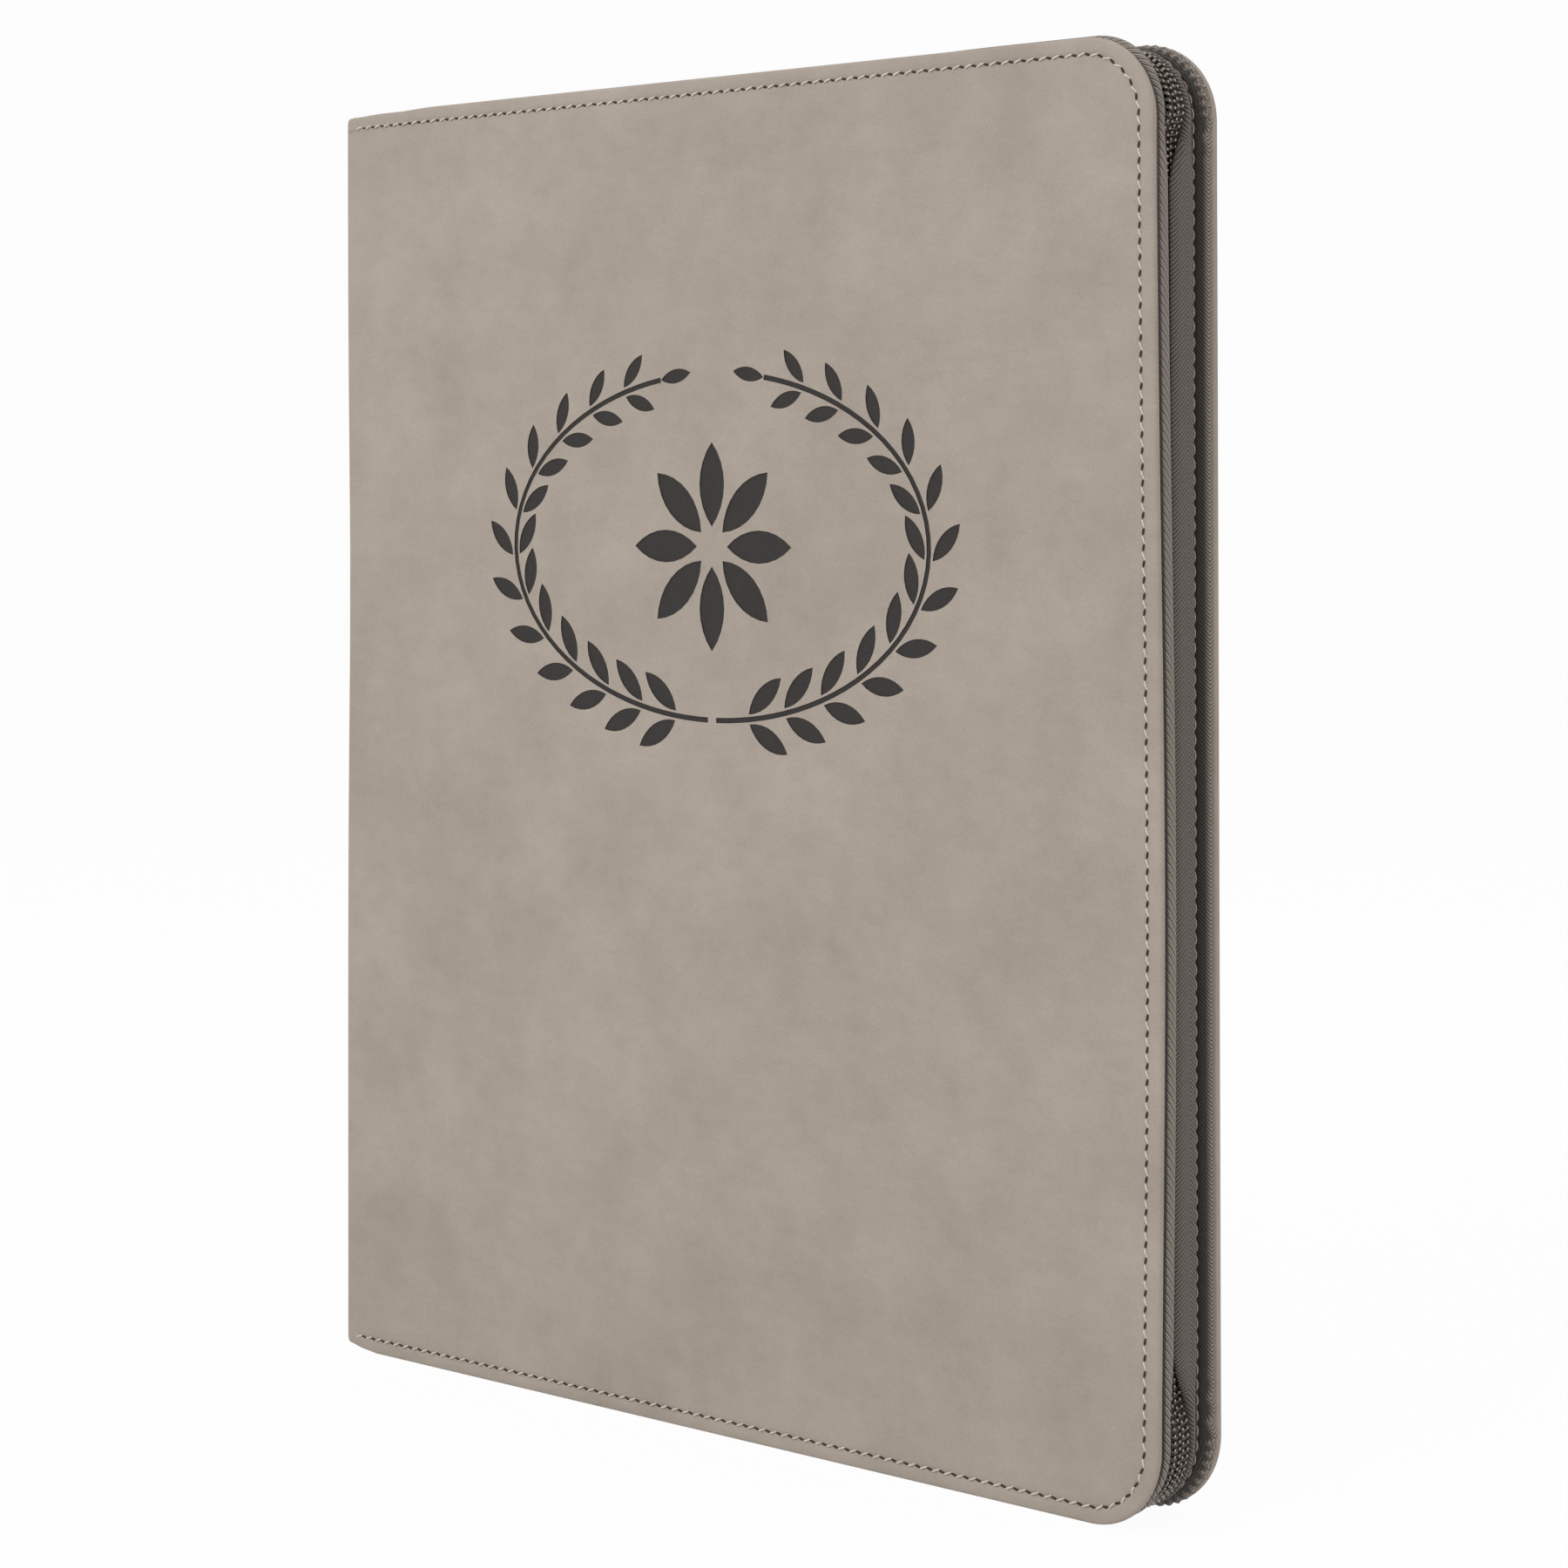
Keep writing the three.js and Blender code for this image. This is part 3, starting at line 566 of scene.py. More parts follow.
def lens(x, y, angle, length, width, steps=8):
    """Two arcs that meet in a point at the root and at the tip"""
    radius = (length * length + width * width) / (4 * width)
    half = math.asin(length / 2 / radius)
    points = []
    for i in range(2 * steps):
        side = 1 if i < steps else -1
        turn = -half + 2 * half * (i % steps) / steps
        along = side * radius * math.sin(turn) + length / 2
        across = -side * (radius * math.cos(turn) - radius + width / 2)
        points.append((x + along * math.cos(angle) - across * math.sin(angle),
                       y + along * math.sin(angle) + across * math.cos(angle)))
    return points


def wreath_point(angle, grow=0.0):
    return Vector(((wreath_width + grow) * math.sin(angle),
                   wreath_middle - (wreath_rise + grow) * math.cos(angle)))


def wreath_angle(share, gap=0.11, evening=0.114):
    """The angle of a share of the half wreath, evened out so that the leaves stand equally far apart"""
    turn = math.pi * share * (1 - gap)
    return turn - evening * math.sin(2 * turn)


def ornament_outlines(leaf_pairs=13, stem=1.2 * mm, leaf=(13 * mm, 4.6 * mm), splay=0.62):
    outlines = []
    stem_start, leaf_root = 0.02, 1.32 * mm
    for side in (-1, 1):
        angles = [side * (stem_start + wreath_angle(i / 40)) for i in range(41)]
        outer = [tuple(wreath_point(a, stem / 2)) for a in angles]
        inner = [tuple(wreath_point(a, -stem / 2)) for a in reversed(angles)]
        outlines.append(outer + inner)
        for i in range(1, leaf_pairs + 1):
            angle = wreath_angle(i / leaf_pairs)
            here, beyond = wreath_point(side * angle), wreath_point(side * (angle + stem_start / 2))
            heading = math.atan2(beyond.y - here.y, beyond.x - here.x)
            size = 1 - 0.3 * i / leaf_pairs
            for lean in (-splay, splay) if i < leaf_pairs else (0,):
                x = here.x + leaf_root * math.cos(heading + lean / splay)
                y = here.y + leaf_root * math.sin(heading + lean / splay)
                outlines.append(lens(x, y, heading + lean, leaf[0] * size, leaf[1] * size))
    for i in range(petal_count):
        angle = 2 * math.pi * i / petal_count
        x, y = petal_root * math.cos(angle), wreath_middle + petal_root * math.sin(angle)
        outlines.append(lens(x, y, angle, *petal_size))
    return outlines


def flat_mesh(name, outlines, z):
    mesh = bpy.data.meshes.new(name)
    shape = bmesh.new()
    for outline in outlines:
        shape.faces.new([shape.verts.new((x, y, z)) for x, y in outline])
    bmesh.ops.recalc_face_normals(shape, faces=shape.faces)
    shape.to_mesh(mesh)
    shape.free()
    return new_piece(name, mesh)


def raise_faces(piece, distance):
    edit_all(piece)
    bpy.ops.mesh.extrude_region_move(TRANSFORM_OT_translate={"value": (0, 0, distance)})
    bpy.ops.mesh.select_all(action="SELECT")
    bpy.ops.mesh.normals_make_consistent(inside=False)
    leave_edit()


def engrave(skin):
    cutter = flat_mesh("cutters", ornament_outlines(), front - engraving_depth)
    raise_faces(cutter, 2 * mm)
    cutter.data.materials.append(engraved_material)
    skin.data.materials.append(skin_material)
    cut = skin.modifiers.new("engraving", "BOOLEAN")
    cut.operation = "DIFFERENCE"
    cut.solver = "EXACT"
    cut.use_self = True
    cut.material_mode = "TRANSFER"
    cut.object = cutter
    apply_modifiers(skin)
    bpy.data.objects.remove(cutter)


engrave(front_skin)
back_skin.data.materials.append(skin_material)
for skin, cover, facing in ((front_skin, "front", -1), (back_skin, "back", 1)):
    smooth(skin, 50)
    stand_up(skin)
    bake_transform(skin)
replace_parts(front_skin, "front_cover", "spine_cover")
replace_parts(back_skin, "back_cover")
print("skins", len(front_skin.data.polygons), len(back_skin.data.polygons))

# %% [markdown]
# ## Sewing
# The seam is a row of short slanted stitches, each diving into a needle hole, and the shade inside each
# hole is painted as a flat dark patch. One stitch and its hole's patch are modelled, an Array repeats
# them to the seam's length, and a Curve modifier lays the row round the cover. The curve is flat, so
# the stitch's x runs along it, y across it and z out of it.

# %% The line that a seam or a coil follows
def edge_points(inset, start):
    """Corners and straights of a line inside the cover's edge, from the spine over the top to the foot"""
    radius = corner_radius - inset
    x, high, low = half_width - corner_radius, height - corner_radius, corner_radius
    points = [(-half_width + start, height - inset)]
    for step in range(25):
        turn = math.pi / 2 * (1 - step / 24)
        points.append((x + radius * math.cos(turn), high + radius * math.sin(turn)))
    for step in range(25):
        turn = -math.pi / 2 * step / 24
        points.append((x + radius * math.cos(turn), low + radius * math.sin(turn)))
    points.append((-half_width + start, inset))
    return points


def flat_curve(name, points, z):
    data = bpy.data.curves.new(name, "CURVE")
    data.dimensions = "3D"
    data.twist_mode = "Z_UP"
    spline = data.splines.new("POLY")
    spline.points.add(len(points) - 1)
    for point, (x, y) in zip(spline.points, points):
        point.co = (x, y, z, 1)
    return new_piece(name, data)


def path_length(points):
    return sum(math.dist(a, b) for a, b in zip(points, points[1:]))


def dense(points, step=1.5 * mm):
    """The same line with points close together, because Curve rounds the line between far points"""
    out = []
    for a, b in zip(points, points[1:]):
        count = max(1, round(math.dist(a, b) / step))
        out += [tuple(Vector(a).lerp(Vector(b), i / count)) for i in range(count)]
    return out + [tuple(points[-1])]


def lay_along(unit, pitch, points, z, merge=False):
    """Repeats a unit along the line, and bends the row to it"""
    points = dense(points)
    count = round(path_length(points) / pitch)
    row = unit.modifiers.new("row", "ARRAY")
    row.use_relative_offset = False
    row.use_constant_offset = True
    row.constant_offset_displace = (path_length(points) / count, 0, 0)
    row.count = count
    row.use_merge_vertices = merge
    row.merge_threshold = 0.02 * mm
    curve = flat_curve("line", points, z)
    bend = unit.modifiers.new("bend", "CURVE")
    bend.object = curve
    bend.deform_axis = "POS_X"
    apply_modifiers(unit)
    bpy.data.objects.remove(curve)


# %% One stitch and the painted shade of its hole
stitch_pitch = 3.28 * mm
stitch_start = 2.2 * mm
stitch_bed = 0.16 * mm
side_sink = 0.21 * mm


def stitch_unit(name, length=2.15 * mm, width=0.46 * mm, slant=0.85 * mm, lift=0.16 * mm):
    """A short plump thread that rises from one hole and dives into the next"""
    bpy.ops.mesh.primitive_cylinder_add(vertices=8, radius=width / 2, depth=length, end_fill_type="NGON",
                                        location=(stitch_pitch / 2, 0, 0), rotation=(0, math.pi / 2, 0))
    piece = bpy.context.object
    piece.name = name
    apply_place()
    edit_all(piece)
    for place in (0.15, 0.35, 0.5, 0.65, 0.85):
        bpy.ops.mesh.select_all(action="SELECT")
        bpy.ops.mesh.bisect(plane_co=(stitch_pitch / 2 + (place - 0.5) * length, 0, 0), plane_no=(1, 0, 0))
    leave_edit()
    for vertex in piece.data.vertices:
        t = (vertex.co.x - stitch_pitch / 2) / (length / 2)
        fade = 1 - 0.5 * t ** 4
        vertex.co.y = vertex.co.y * fade + slant * t * 0.5
        vertex.co.z = vertex.co.z * fade + lift * (1 - 2 * t * t)
    return piece


def hole_shade_unit(name, length=1.6 * mm, width=0.56 * mm):
    """A flat dark patch of painted shade, for a needle hole that the thread has pulled long"""
    bpy.ops.mesh.primitive_uv_sphere_add(segments=10, ring_count=5, radius=length / 2,
                                         location=(0, 0, -0.06 * mm))
    piece = bpy.context.object
    piece.name = name
    piece.scale = (1, width / length, 0.16)
    piece.rotation_euler = (0, 0, -0.22)
    apply_place()
    return piece


def sink_on_side(piece, depth):
    """Along the zip side the thread is pulled down into the leatherette"""
    for vertex in piece.data.vertices:
        vertex.co.z -= depth * ease(vertex.co.x, half_width - 16 * mm, half_width - 6 * mm)


# The needle holes are dark patches whose colour is painted shade, the shade inside each hole.
seam_units = (("stitches", stitch_unit, thread_material), ("needle_holes", hole_shade_unit, hole_shade_material))


def turned_over(piece):
    activate(piece)
    piece.scale = (1, 1, -1)
    apply_place()
    faces_outward(piece)


def seam(cover, side):
    """The stitches and the painted shade of their holes round one cover, at the bottom of the seam's valley
    """
    points = edge_points(seam_inset, stitch_start)
    for word, unit, material in seam_units:
        piece = unit(f"{cover}_{word}")
        lay_along(piece, stitch_pitch, points, front - stitch_bed)
        if word == "stitches":
            sink_on_side(piece, side_sink)
        if side > 0:
            bow_out(piece)
        else:
            bow_out(piece, back_bow, back_bow)
            turned_over(piece)
        paint(piece, material)
        smooth(piece, 60)
        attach(stand_up(piece), cover)
        if word == "stitches":
            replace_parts(piece, f"{cover}_seam")


def spine_seam(end, y):
    """The same seam over one end of the spine, laid flat and then turned to face outwards"""
    low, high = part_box(f"spine_{end}_seam")
    for word, unit, material in seam_units:
        piece = unit(f"spine_{end}_{word}")
        lay_along(piece, stitch_pitch, [(low.y, 0), (high.y, 0)], 0)
        activate(piece)
        piece.rotation_euler = (0, -math.pi / 2, 0)
        piece.location = (-half_width + spine_bow(y) + 0.02 * mm, y, 0)
        apply_place()
        paint(piece, material)
        smooth(piece, 60)
        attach(stand_up(piece), "spine")
        if word == "stitches":
            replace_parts(piece, f"spine_{end}_seam")


seam("front", 1)
seam("back", -1)
spine_seam_inset = seam_inset + 0.3 * mm
spine_seam("upper", height - spine_seam_inset)
spine_seam("lower", spine_seam_inset)
print("seam", round(seam_inset / mm, 1), "mm in, a stitch every", round(stitch_pitch / mm, 2), "mm")

# %% [markdown]
# ## The zip's tapes
# Each tape is sewn inside its cover, comes out to a soft fold beside the cover's edge, and turns back
# in to the coil. Along the long side the back tape folds over the coil and meets the front one; round
# the corners the folds fall open. A middle line for each state is drawn, both are smoothed, and
# every station along the edge lies somewhere between them. The faces carry a UV map in metres, so
# that the twill keeps its size.

# %% Middle lines, as distance inwards from the edge and depth from the front face, in millimetres
zip_at = zip_depth / mm
near_side, far_side = zip_at - 3.0, zip_at + 3.0
low_level = 5.1
coil_lift = 2.1
high_level = low_level - coil_lift
front_roll = [(7.2, 2.9), (3.2, 2.95), (1.8, 3.05), (1.0, 3.5), (0.6, 4.0), (0.5, 4.6), (0.7, 5.1),
              (1.1, near_side - 0.95)]
front_tape_lines = {
    "closed": [(7.2, 2.9), (2.6, 2.95), (1.6, 3.15), (1.0, 3.8), (0.85, 4.7), (0.9, 5.8),
               (1.2, near_side + 0.3), (1.8, near_side + 0.9), (2.4, near_side + 0.5),
               (2.9, near_side - 0.3), (4.1, near_side - 0.8), (low_level, near_side - 0.1),
               (low_level, zip_at - 0.4)],
    "open": front_roll + [(1.9, near_side - 0.9), (3.0, near_side - 0.9), (4.2, near_side - 0.9),
                          (low_level, near_side - 0.1), (low_level, zip_at - 0.4)],
    "high": front_roll + [(1.7, near_side - 0.65), (2.3, near_side - 0.6), (2.75, near_side - 0.4),
                          (high_level, near_side + 0.1), (high_level, zip_at - 0.4)],
}
back_foot = [(4.6, 17.2), (3.6, 16.9), (2.7, 16.6), (2.15, 16.2), (1.85, 15.75)]
back_tape_lines = {
    "closed": back_foot + [(2.05, 15.3), (1.5, 14.95), (1.2, 14.2), (1.15, 12), (1.2, 10),
                           (1.4, near_side + 2.6), (1.7, near_side + 2), (2.1, near_side + 1.75),
                           (2.45, near_side + 2.05), (2.6, near_side + 2.8), (2.65, far_side + 0.2),
                           (3.2, far_side + 0.9), (4.4, far_side + 0.9), (low_level, far_side + 0.4),
                           (low_level, zip_at + 0.4)],
    "open": back_foot + [(2.05, 15.4), (1.9, 15.0), (1.85, 14.6), (1.85, 14.3), (1.9, 14.0), (2.0, 13.75),
                         (2.2, far_side + 1.1), (2.5, far_side + 0.95), (2.8, far_side + 0.8),
                         (3.1, far_side + 0.75), (3.5, far_side + 0.75), (4.0, far_side + 0.75),
                         (4.7, far_side + 0.75), (low_level, far_side + 0.4), (low_level, zip_at + 0.4)],
    "high": back_foot + [(2.0, 15.4), (1.75, 15.0), (1.6, 14.6), (1.45, 14.3), (1.3, 14.0),
                         (1.15, far_side + 1.35), (1.1, far_side + 1.1), (1.2, far_side + 0.88),
                         (1.45, far_side + 0.78), (1.75, far_side + 0.75), (2.1, far_side + 0.75),
                         (2.45, far_side + 0.75), (2.75, far_side + 0.7), (high_level, far_side + 0.4),
                         (high_level, zip_at + 0.4)],
}
gusset_line = [(7.2, 19.25), (3.0, 19.3), (1.5, 19.7), (0.85, 19.85), (0.4, 19.75), (0.25, 19.3),
               (0.4, 18.7), (0.85, 18.15), (1.6, 17.75), (2.6, 17.55), (3.6, 17.7), (4.6, 17.95)]
gusset_lines = dict.fromkeys(back_tape_lines, gusset_line)

# %% Where the folds open, and how far the coil is lifted
open_above, open_below, opening_taper = height - 31.5 * mm, 36.5 * mm, 18 * mm
lift_taper, lift_from = 8 * mm, 0.6
aside_lead = 1.35


def openness(y):
    """0 where the tapes are folded shut over the coil, 1 where they stand open"""
    return ease(max(y - open_above, open_below - y, 0), 0, opening_taper)


def raised(place):
    """How far the coil is lifted towards the edge: 1 round the corners, 0 along the straight ends"""
    corner = half_width - corner_radius
    return ease(place.x, corner, corner + lift_taper) * ease(openness(place.y), lift_from, 1)


def section_at(lines, place):
    """The middle line at one place: its fold clears the coil sideways before the coil is lifted"""
    share, lift = openness(place.y), raised(place)
    aside = min(1, aside_lead * share)
    line = []
    for shut, fallen, high in zip(lines["closed"], lines["open"], lines["high"]):
        spread = fallen.lerp(high, lift)
        line.append(Vector((shut.x + (spread.x - shut.x) * share, shut.y + (spread.y - shut.y) * aside)))
    return line


# %% Sweeping a tape along the cover's edge
tape_thickness = 0.42 * mm
end_steps, corner_steps, side_steps = 70, 56, 170
gather_pitch = 2.3 * mm
fold_reach = 4.5


def smoothed(line, steps=3):
    """A Catmull-Rom curve through the points of a middle line"""
    points = [Vector(p) for p in line]
    out = []
    for i in range(len(points) - 1):
        a, b, c, d = points[max(i - 1, 0)], points[i], points[i + 1], points[min(i + 2, len(points) - 1)]
        for step in range(steps):
            t = step / steps
            out.append(0.5 * (2 * b + (c - a) * t + (2 * a - 5 * b + 4 * c - d) * t * t
                              + (3 * b - a - 3 * c + d) * t ** 3))
    return out + [points[-1]]


def edge_stations(start):
    """Points on the cover's edge with their outward directions, close together where the line bends"""
    x, high, low = half_width - corner_radius, height - corner_radius, corner_radius
    top = [(-half_width + start) + (x + half_width - start) * i / end_steps for i in range(end_steps)]
    side = [high + (low - high) * i / side_steps for i in range(side_steps)]
    stations = [(px, height, math.pi / 2) for px in top]
    stations += [(x, high, math.pi / 2 * (1 - i / corner_steps)) for i in range(corner_steps)]
    stations += [(half_width, py, 0.0) for py in side]
    stations += [(x, low, -math.pi / 2 * i / corner_steps) for i in range(corner_steps)]
    stations += [(px, 0.0, -math.pi / 2) for px in reversed(top + [x])]
    out = []
    for px, py, turn in stations:
        direction = Vector((math.cos(turn), math.sin(turn)))
        centre = (px, py) in ((x, high), (x, low))
        out.append((Vector((px, py)) + direction * (corner_radius if centre else 0), direction))
    return out


def ribbon_ring(line):
    """The two faces of a ribbon about its middle line, and how far each point lies across it"""
    sides, across = ([], []), [0.0]
    for before, after in zip(line, line[1:]):
        across.append(across[-1] + (after - before).length * mm)
    for i, point in enumerate(line):
        along = (line[min(i + 1, len(line) - 1)] - line[max(i - 1, 0)]).normalized()
        normal = Vector((-along.y, along.x)) * (tape_thickness / 2 / mm)
        sides[0].append(point + normal)
        sides[1].append(point - normal)
    return sides[0] + sides[1][::-1], across + across[::-1]


def tape(name, lines, start, peek=0.0, gather=0.0):
    """A folded tape. Round the corners it may peek out over the cover's edge, or lie in gathers"""
    lines = {state: smoothed(line) for state, line in lines.items()}
    count = 2 * len(lines["closed"])
    verts, faces, marks = [], [], []
    distance, last = 0.0, None
    for place, outward in edge_stations(start):
        distance += (place - last).length if last else 0.0
        last = place
        on_top = ease(place.y, height - corner_radius, height) * ease(place.x, 20 * mm, 80 * mm)
        corner = ease(place.x, half_width - 20 * mm, half_width - 8 * mm) * openness(place.y)
        shift = peek * on_top + gather * corner * math.sin(2 * math.pi * distance / gather_pitch)
        line = [Vector((inwards - shift * max(0, 1 - inwards / fold_reach), depth))
                for inwards, depth in section_at(lines, place)]
        ring, across = ribbon_ring(line)
        for (inwards, depth), v in zip(ring, across):
            spot = place - outward * inwards * mm
            verts.append((spot.x, spot.y, front - depth * mm))
            marks.append((distance, v))
    for first in range(0, len(verts) - count, count):
        for i in range(count):
            a, b = first + i, first + (i + 1) % count
            faces.append((a, a + count, b + count, b))
    faces.append(tuple(range(count)))
    faces.append(tuple(reversed(range(len(verts) - count, len(verts)))))
    mesh = bpy.data.meshes.new(name)
    mesh.from_pydata(verts, [], faces)
    weave = mesh.uv_layers.new(name="weave")
    for loop in mesh.loops:
        weave.data[loop.index].uv = marks[loop.vertex_index]
    piece = new_piece(name, mesh)
    faces_outward(piece)
    smooth(piece, 70)
    return piece


front_start, back_start = 39 * mm, 20 * mm
front_tape = bow_out(tape("front_tape", front_tape_lines, front_start, peek=1.1))
back_tape = tape("back_tape", back_tape_lines, back_start)
gusset = bow_out(tape("gusset", gusset_lines, back_start, gather=0.35), back_bow, back_bow)
for piece, body, node, material in ((front_tape, "front", "front_zip_tape", front_tape_material),
                                    (back_tape, "back", "back_zip_tape", back_tape_material),
                                    (gusset, "back", "back_gusset", gusset_material)):
    paint(stand_up(piece), material)
    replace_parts(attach(piece, body), node)
    print(piece.name, len(piece.data.polygons), "faces")

# %% [markdown]
# A fine seam joins the back tape to the gusset, and shows as a row of pinkish stitches at the bottom
# of the fold. It is the cover's stitch again, laid on its side so that it faces out of the zip side.

# %% The seam that joins the back tape to the gusset
tape_stitch_pitch = 3.15 * mm
tape_seam_inset, tape_seam_depth = 1.62 * mm, 15.72 * mm
tape_stitches = stitch_unit("tape_stitches", length=2.35 * mm, width=0.42 * mm, slant=0.1 * mm,
                            lift=0.12 * mm)
for vertex in tape_stitches.data.vertices:
    vertex.co = Vector((vertex.co.x, vertex.co.z, -vertex.co.y))
tape_seam_line = edge_points(tape_seam_inset, back_start + 2 * mm)
lay_along(tape_stitches, tape_stitch_pitch, tape_seam_line, front - tape_seam_depth)
faces_outward(tape_stitches)
smooth(tape_stitches, 60)
paint(stand_up(tape_stitches), tape_thread_material)
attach(tape_stitches, "back")
print("tape seam", round(path_length(tape_seam_line) / mm), "mm long")

# %% [markdown]
# ## The coil
# A nylon coil zip is one thick filament wound into a flattened spiral along each tape. One turn is a
# bevelled curve. Its mesh is repeated by an Array that welds the turns, and bent along the tape. The
# two rows stay a little apart, because the slider's bridge passes between them.

# %% Two rows of coil
coil_pitch = 1.45 * mm
coil_radius = 0.3 * mm
coil_reach, coil_away, coil_rise, coil_head = 1.15 * mm, 1.87 * mm, 0.46 * mm, 0.18 * mm
coil_inset, sewing_inset = 4.0, 3.28
front_coil_start, back_coil_start = 39 * mm, 24 * mm


def coil_turn(name, side, steps=12):
    points = []
    for i in range(steps + 1):
        turn = 2 * math.pi * i / steps
        head = coil_head * math.exp(-((turn - math.pi) / 0.7) ** 2)
        across = side * (coil_reach * math.cos(turn) - coil_away + head)
        points.append((coil_pitch * i / steps, across, coil_rise * math.sin(turn)))
    data = bpy.data.curves.new(name, "CURVE")
    data.dimensions = "3D"
    data.bevel_depth = coil_radius
    data.bevel_resolution = 1
    spline = data.splines.new("POLY")
    spline.points.add(steps)
    for point, co in zip(spline.points, points):
        point.co = (*co, 1)
    activate(new_piece(name, data))
    bpy.ops.object.convert(target="MESH")
    return bpy.context.object


def coil_line(start, inset):
    return [place - outward * (inset - coil_lift * raised(place) * openness(place.y)) * mm
            for place, outward in edge_stations(start)]


def coil_sewing_and_highlight(cover, side, start, away):
    """Sewing thread over the turns: a light bead on each, in a row beside the zip's middle. The beads also
    paint highlights, the light dots of gloss on the coil's turns.
    """
    bpy.ops.mesh.primitive_ico_sphere_add(subdivisions=1, radius=0.36 * mm,
                                          location=(coil_pitch / 2, 0, 0))
    row = bpy.context.object
    row.name = f"{cover}_coil_sewing_{round(away * 10)}"
    row.scale = (1, 0.6, 0.8)
    apply_place()
    lay_along(row, coil_pitch, coil_line(start, sewing_inset), front - zip_depth - side * away * mm)
    paint(row, sewing_and_highlight_material)
    smooth(row, 80)
    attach(stand_up(row), cover)


def coil_row(cover, side, start):
    """side is 1 on the back half and -1 on the front half"""
    row = coil_turn(f"{cover}_coil", side)
    row.rotation_euler = (math.pi / 2, 0, 0)
    apply_place()
    lay_along(row, coil_pitch, coil_line(start, coil_inset), front - zip_depth, merge=True)
    paint(row, coil_material)
    faces_outward(row)
    smooth(row, 80)
    stand_up(row)
    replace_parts(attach(row, cover), f"{cover}_zip_coil")
    print(row.name, len(row.data.polygons), "faces")


coil_sides = (("back", 1, back_coil_start), ("front", -1, front_coil_start))
for coil_side in coil_sides:
    coil_row(*coil_side)
# The bead rows are partly sewing thread and partly painted highlights on the coil's turns.
for away in (0.6, 2.3):
    for coil_side in coil_sides:
        coil_sewing_and_highlight(*coil_side, away)

# %% [markdown]
# ## Slider, pull and stops
# These are small castings of dark metal whose shape the frame already has, with sharp edges. A copy
# of each is merged, freed of its needless edges and given a fine bevel, as tumbling gives the real
# ones, so that the edges catch the light.

# %% Slider and pull, rounded copies of the CAD solids
def round_edges(piece, width, segments, angle):
    bevel = piece.modifiers.new("rounding", "BEVEL")
    bevel.width = width
    bevel.segments = segments
    bevel.limit_method = "ANGLE"
    bevel.angle_limit = math.radians(angle)
    apply_modifiers(piece)


def rounded_copy(node, name, width, body, material):
    """A node's own shape with its edges rounded, as a piece of its own"""
    piece = new_piece(name, frame["nodes"][node].data.copy())
    edit_all(piece)
    bpy.ops.mesh.remove_doubles(threshold=0.001 * mm)
    bpy.ops.mesh.dissolve_limited(angle_limit=math.radians(1))
    leave_edit()
    round_edges(piece, width, 3, 35)
    smooth(piece, 40)
    paint(piece, material)
    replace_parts(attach(piece, body), node)
    print(name, len(piece.data.polygons), "faces")


rounded_copy("zip_slider", "slider", 0.16 * mm, "slider", metal_material)
rounded_copy("zip_pull", "pull", 0.3 * mm, "pull", metal_material)
for stop in ("upper", "lower"):
    rounded_copy(f"{stop}_zip_stop", f"{stop}_stop", 0.2 * mm, "back", metal_material)

# %% [markdown]
# ## Inside
# The boards are lined with dark twill. A document pocket and three stepped card pockets are sewn to the
# front lining, and a ruled pad stands in a panel on the back, with an elastic loop for a pen. The
# lining and the boards keep the frame's own shape, and only get their finish. A pocket is a panel whose
# margin is inset and sunk to a seam, with a rolled edge along its mouth.

# %% Finishes of the inside
def lining_twill():
    finish = Finish("lining_twill", roughness=0.85, Sheen_Weight=0.15, Sheen_Roughness=0.5)
    split = finish.add("ShaderNodeSeparateXYZ")
    finish.link(finish.place, split.inputs[0])
    slanted = finish.math("ADD", split.outputs[0], finish.math("MULTIPLY", split.outputs[2], 0.8))
    rib = finish.math("SINE", finish.math("MULTIPLY", slanted, 2 * math.pi / (0.9 * mm)))
    weft = finish.math("SINE", finish.math("MULTIPLY", split.outputs[2], 2 * math.pi / (0.55 * mm)))
    lift = finish.math("MULTIPLY_ADD", finish.math("MULTIPLY_ADD", weft, 0.5, rib), 0.33, 0.5)
    worn = finish.noise(30 * mm, detail=4)
    fuzz = finish.math("MULTIPLY_ADD", finish.math("SUBTRACT", worn, 0.5), 0.5, lift)
    colour = finish.ramp(fuzz, srgb(46, 42, 39), srgb(70, 65, 60), 0.1, 0.9)
    return finish.done(colour, finish.bump(lift, 0.08 * mm, 0.7))


def pocket_leatherette():
    finish = Finish("pocket_leatherette", roughness=0.62, Sheen_Weight=0.1)
    grain = finish.noise(1.1 * mm, detail=4, roughness=0.6)
    clouds = finish.noise(40 * mm, detail=3)
    colour = finish.ramp(clouds, srgb(56, 51, 47), srgb(70, 64, 59))
    colour = finish.mix(0.3, colour, finish.ramp(grain, srgb(44, 40, 36), srgb(84, 77, 71)))
    return finish.done(colour, finish.bump(grain, 0.12 * mm, 0.6))


rule_spacing = 7.1 * mm


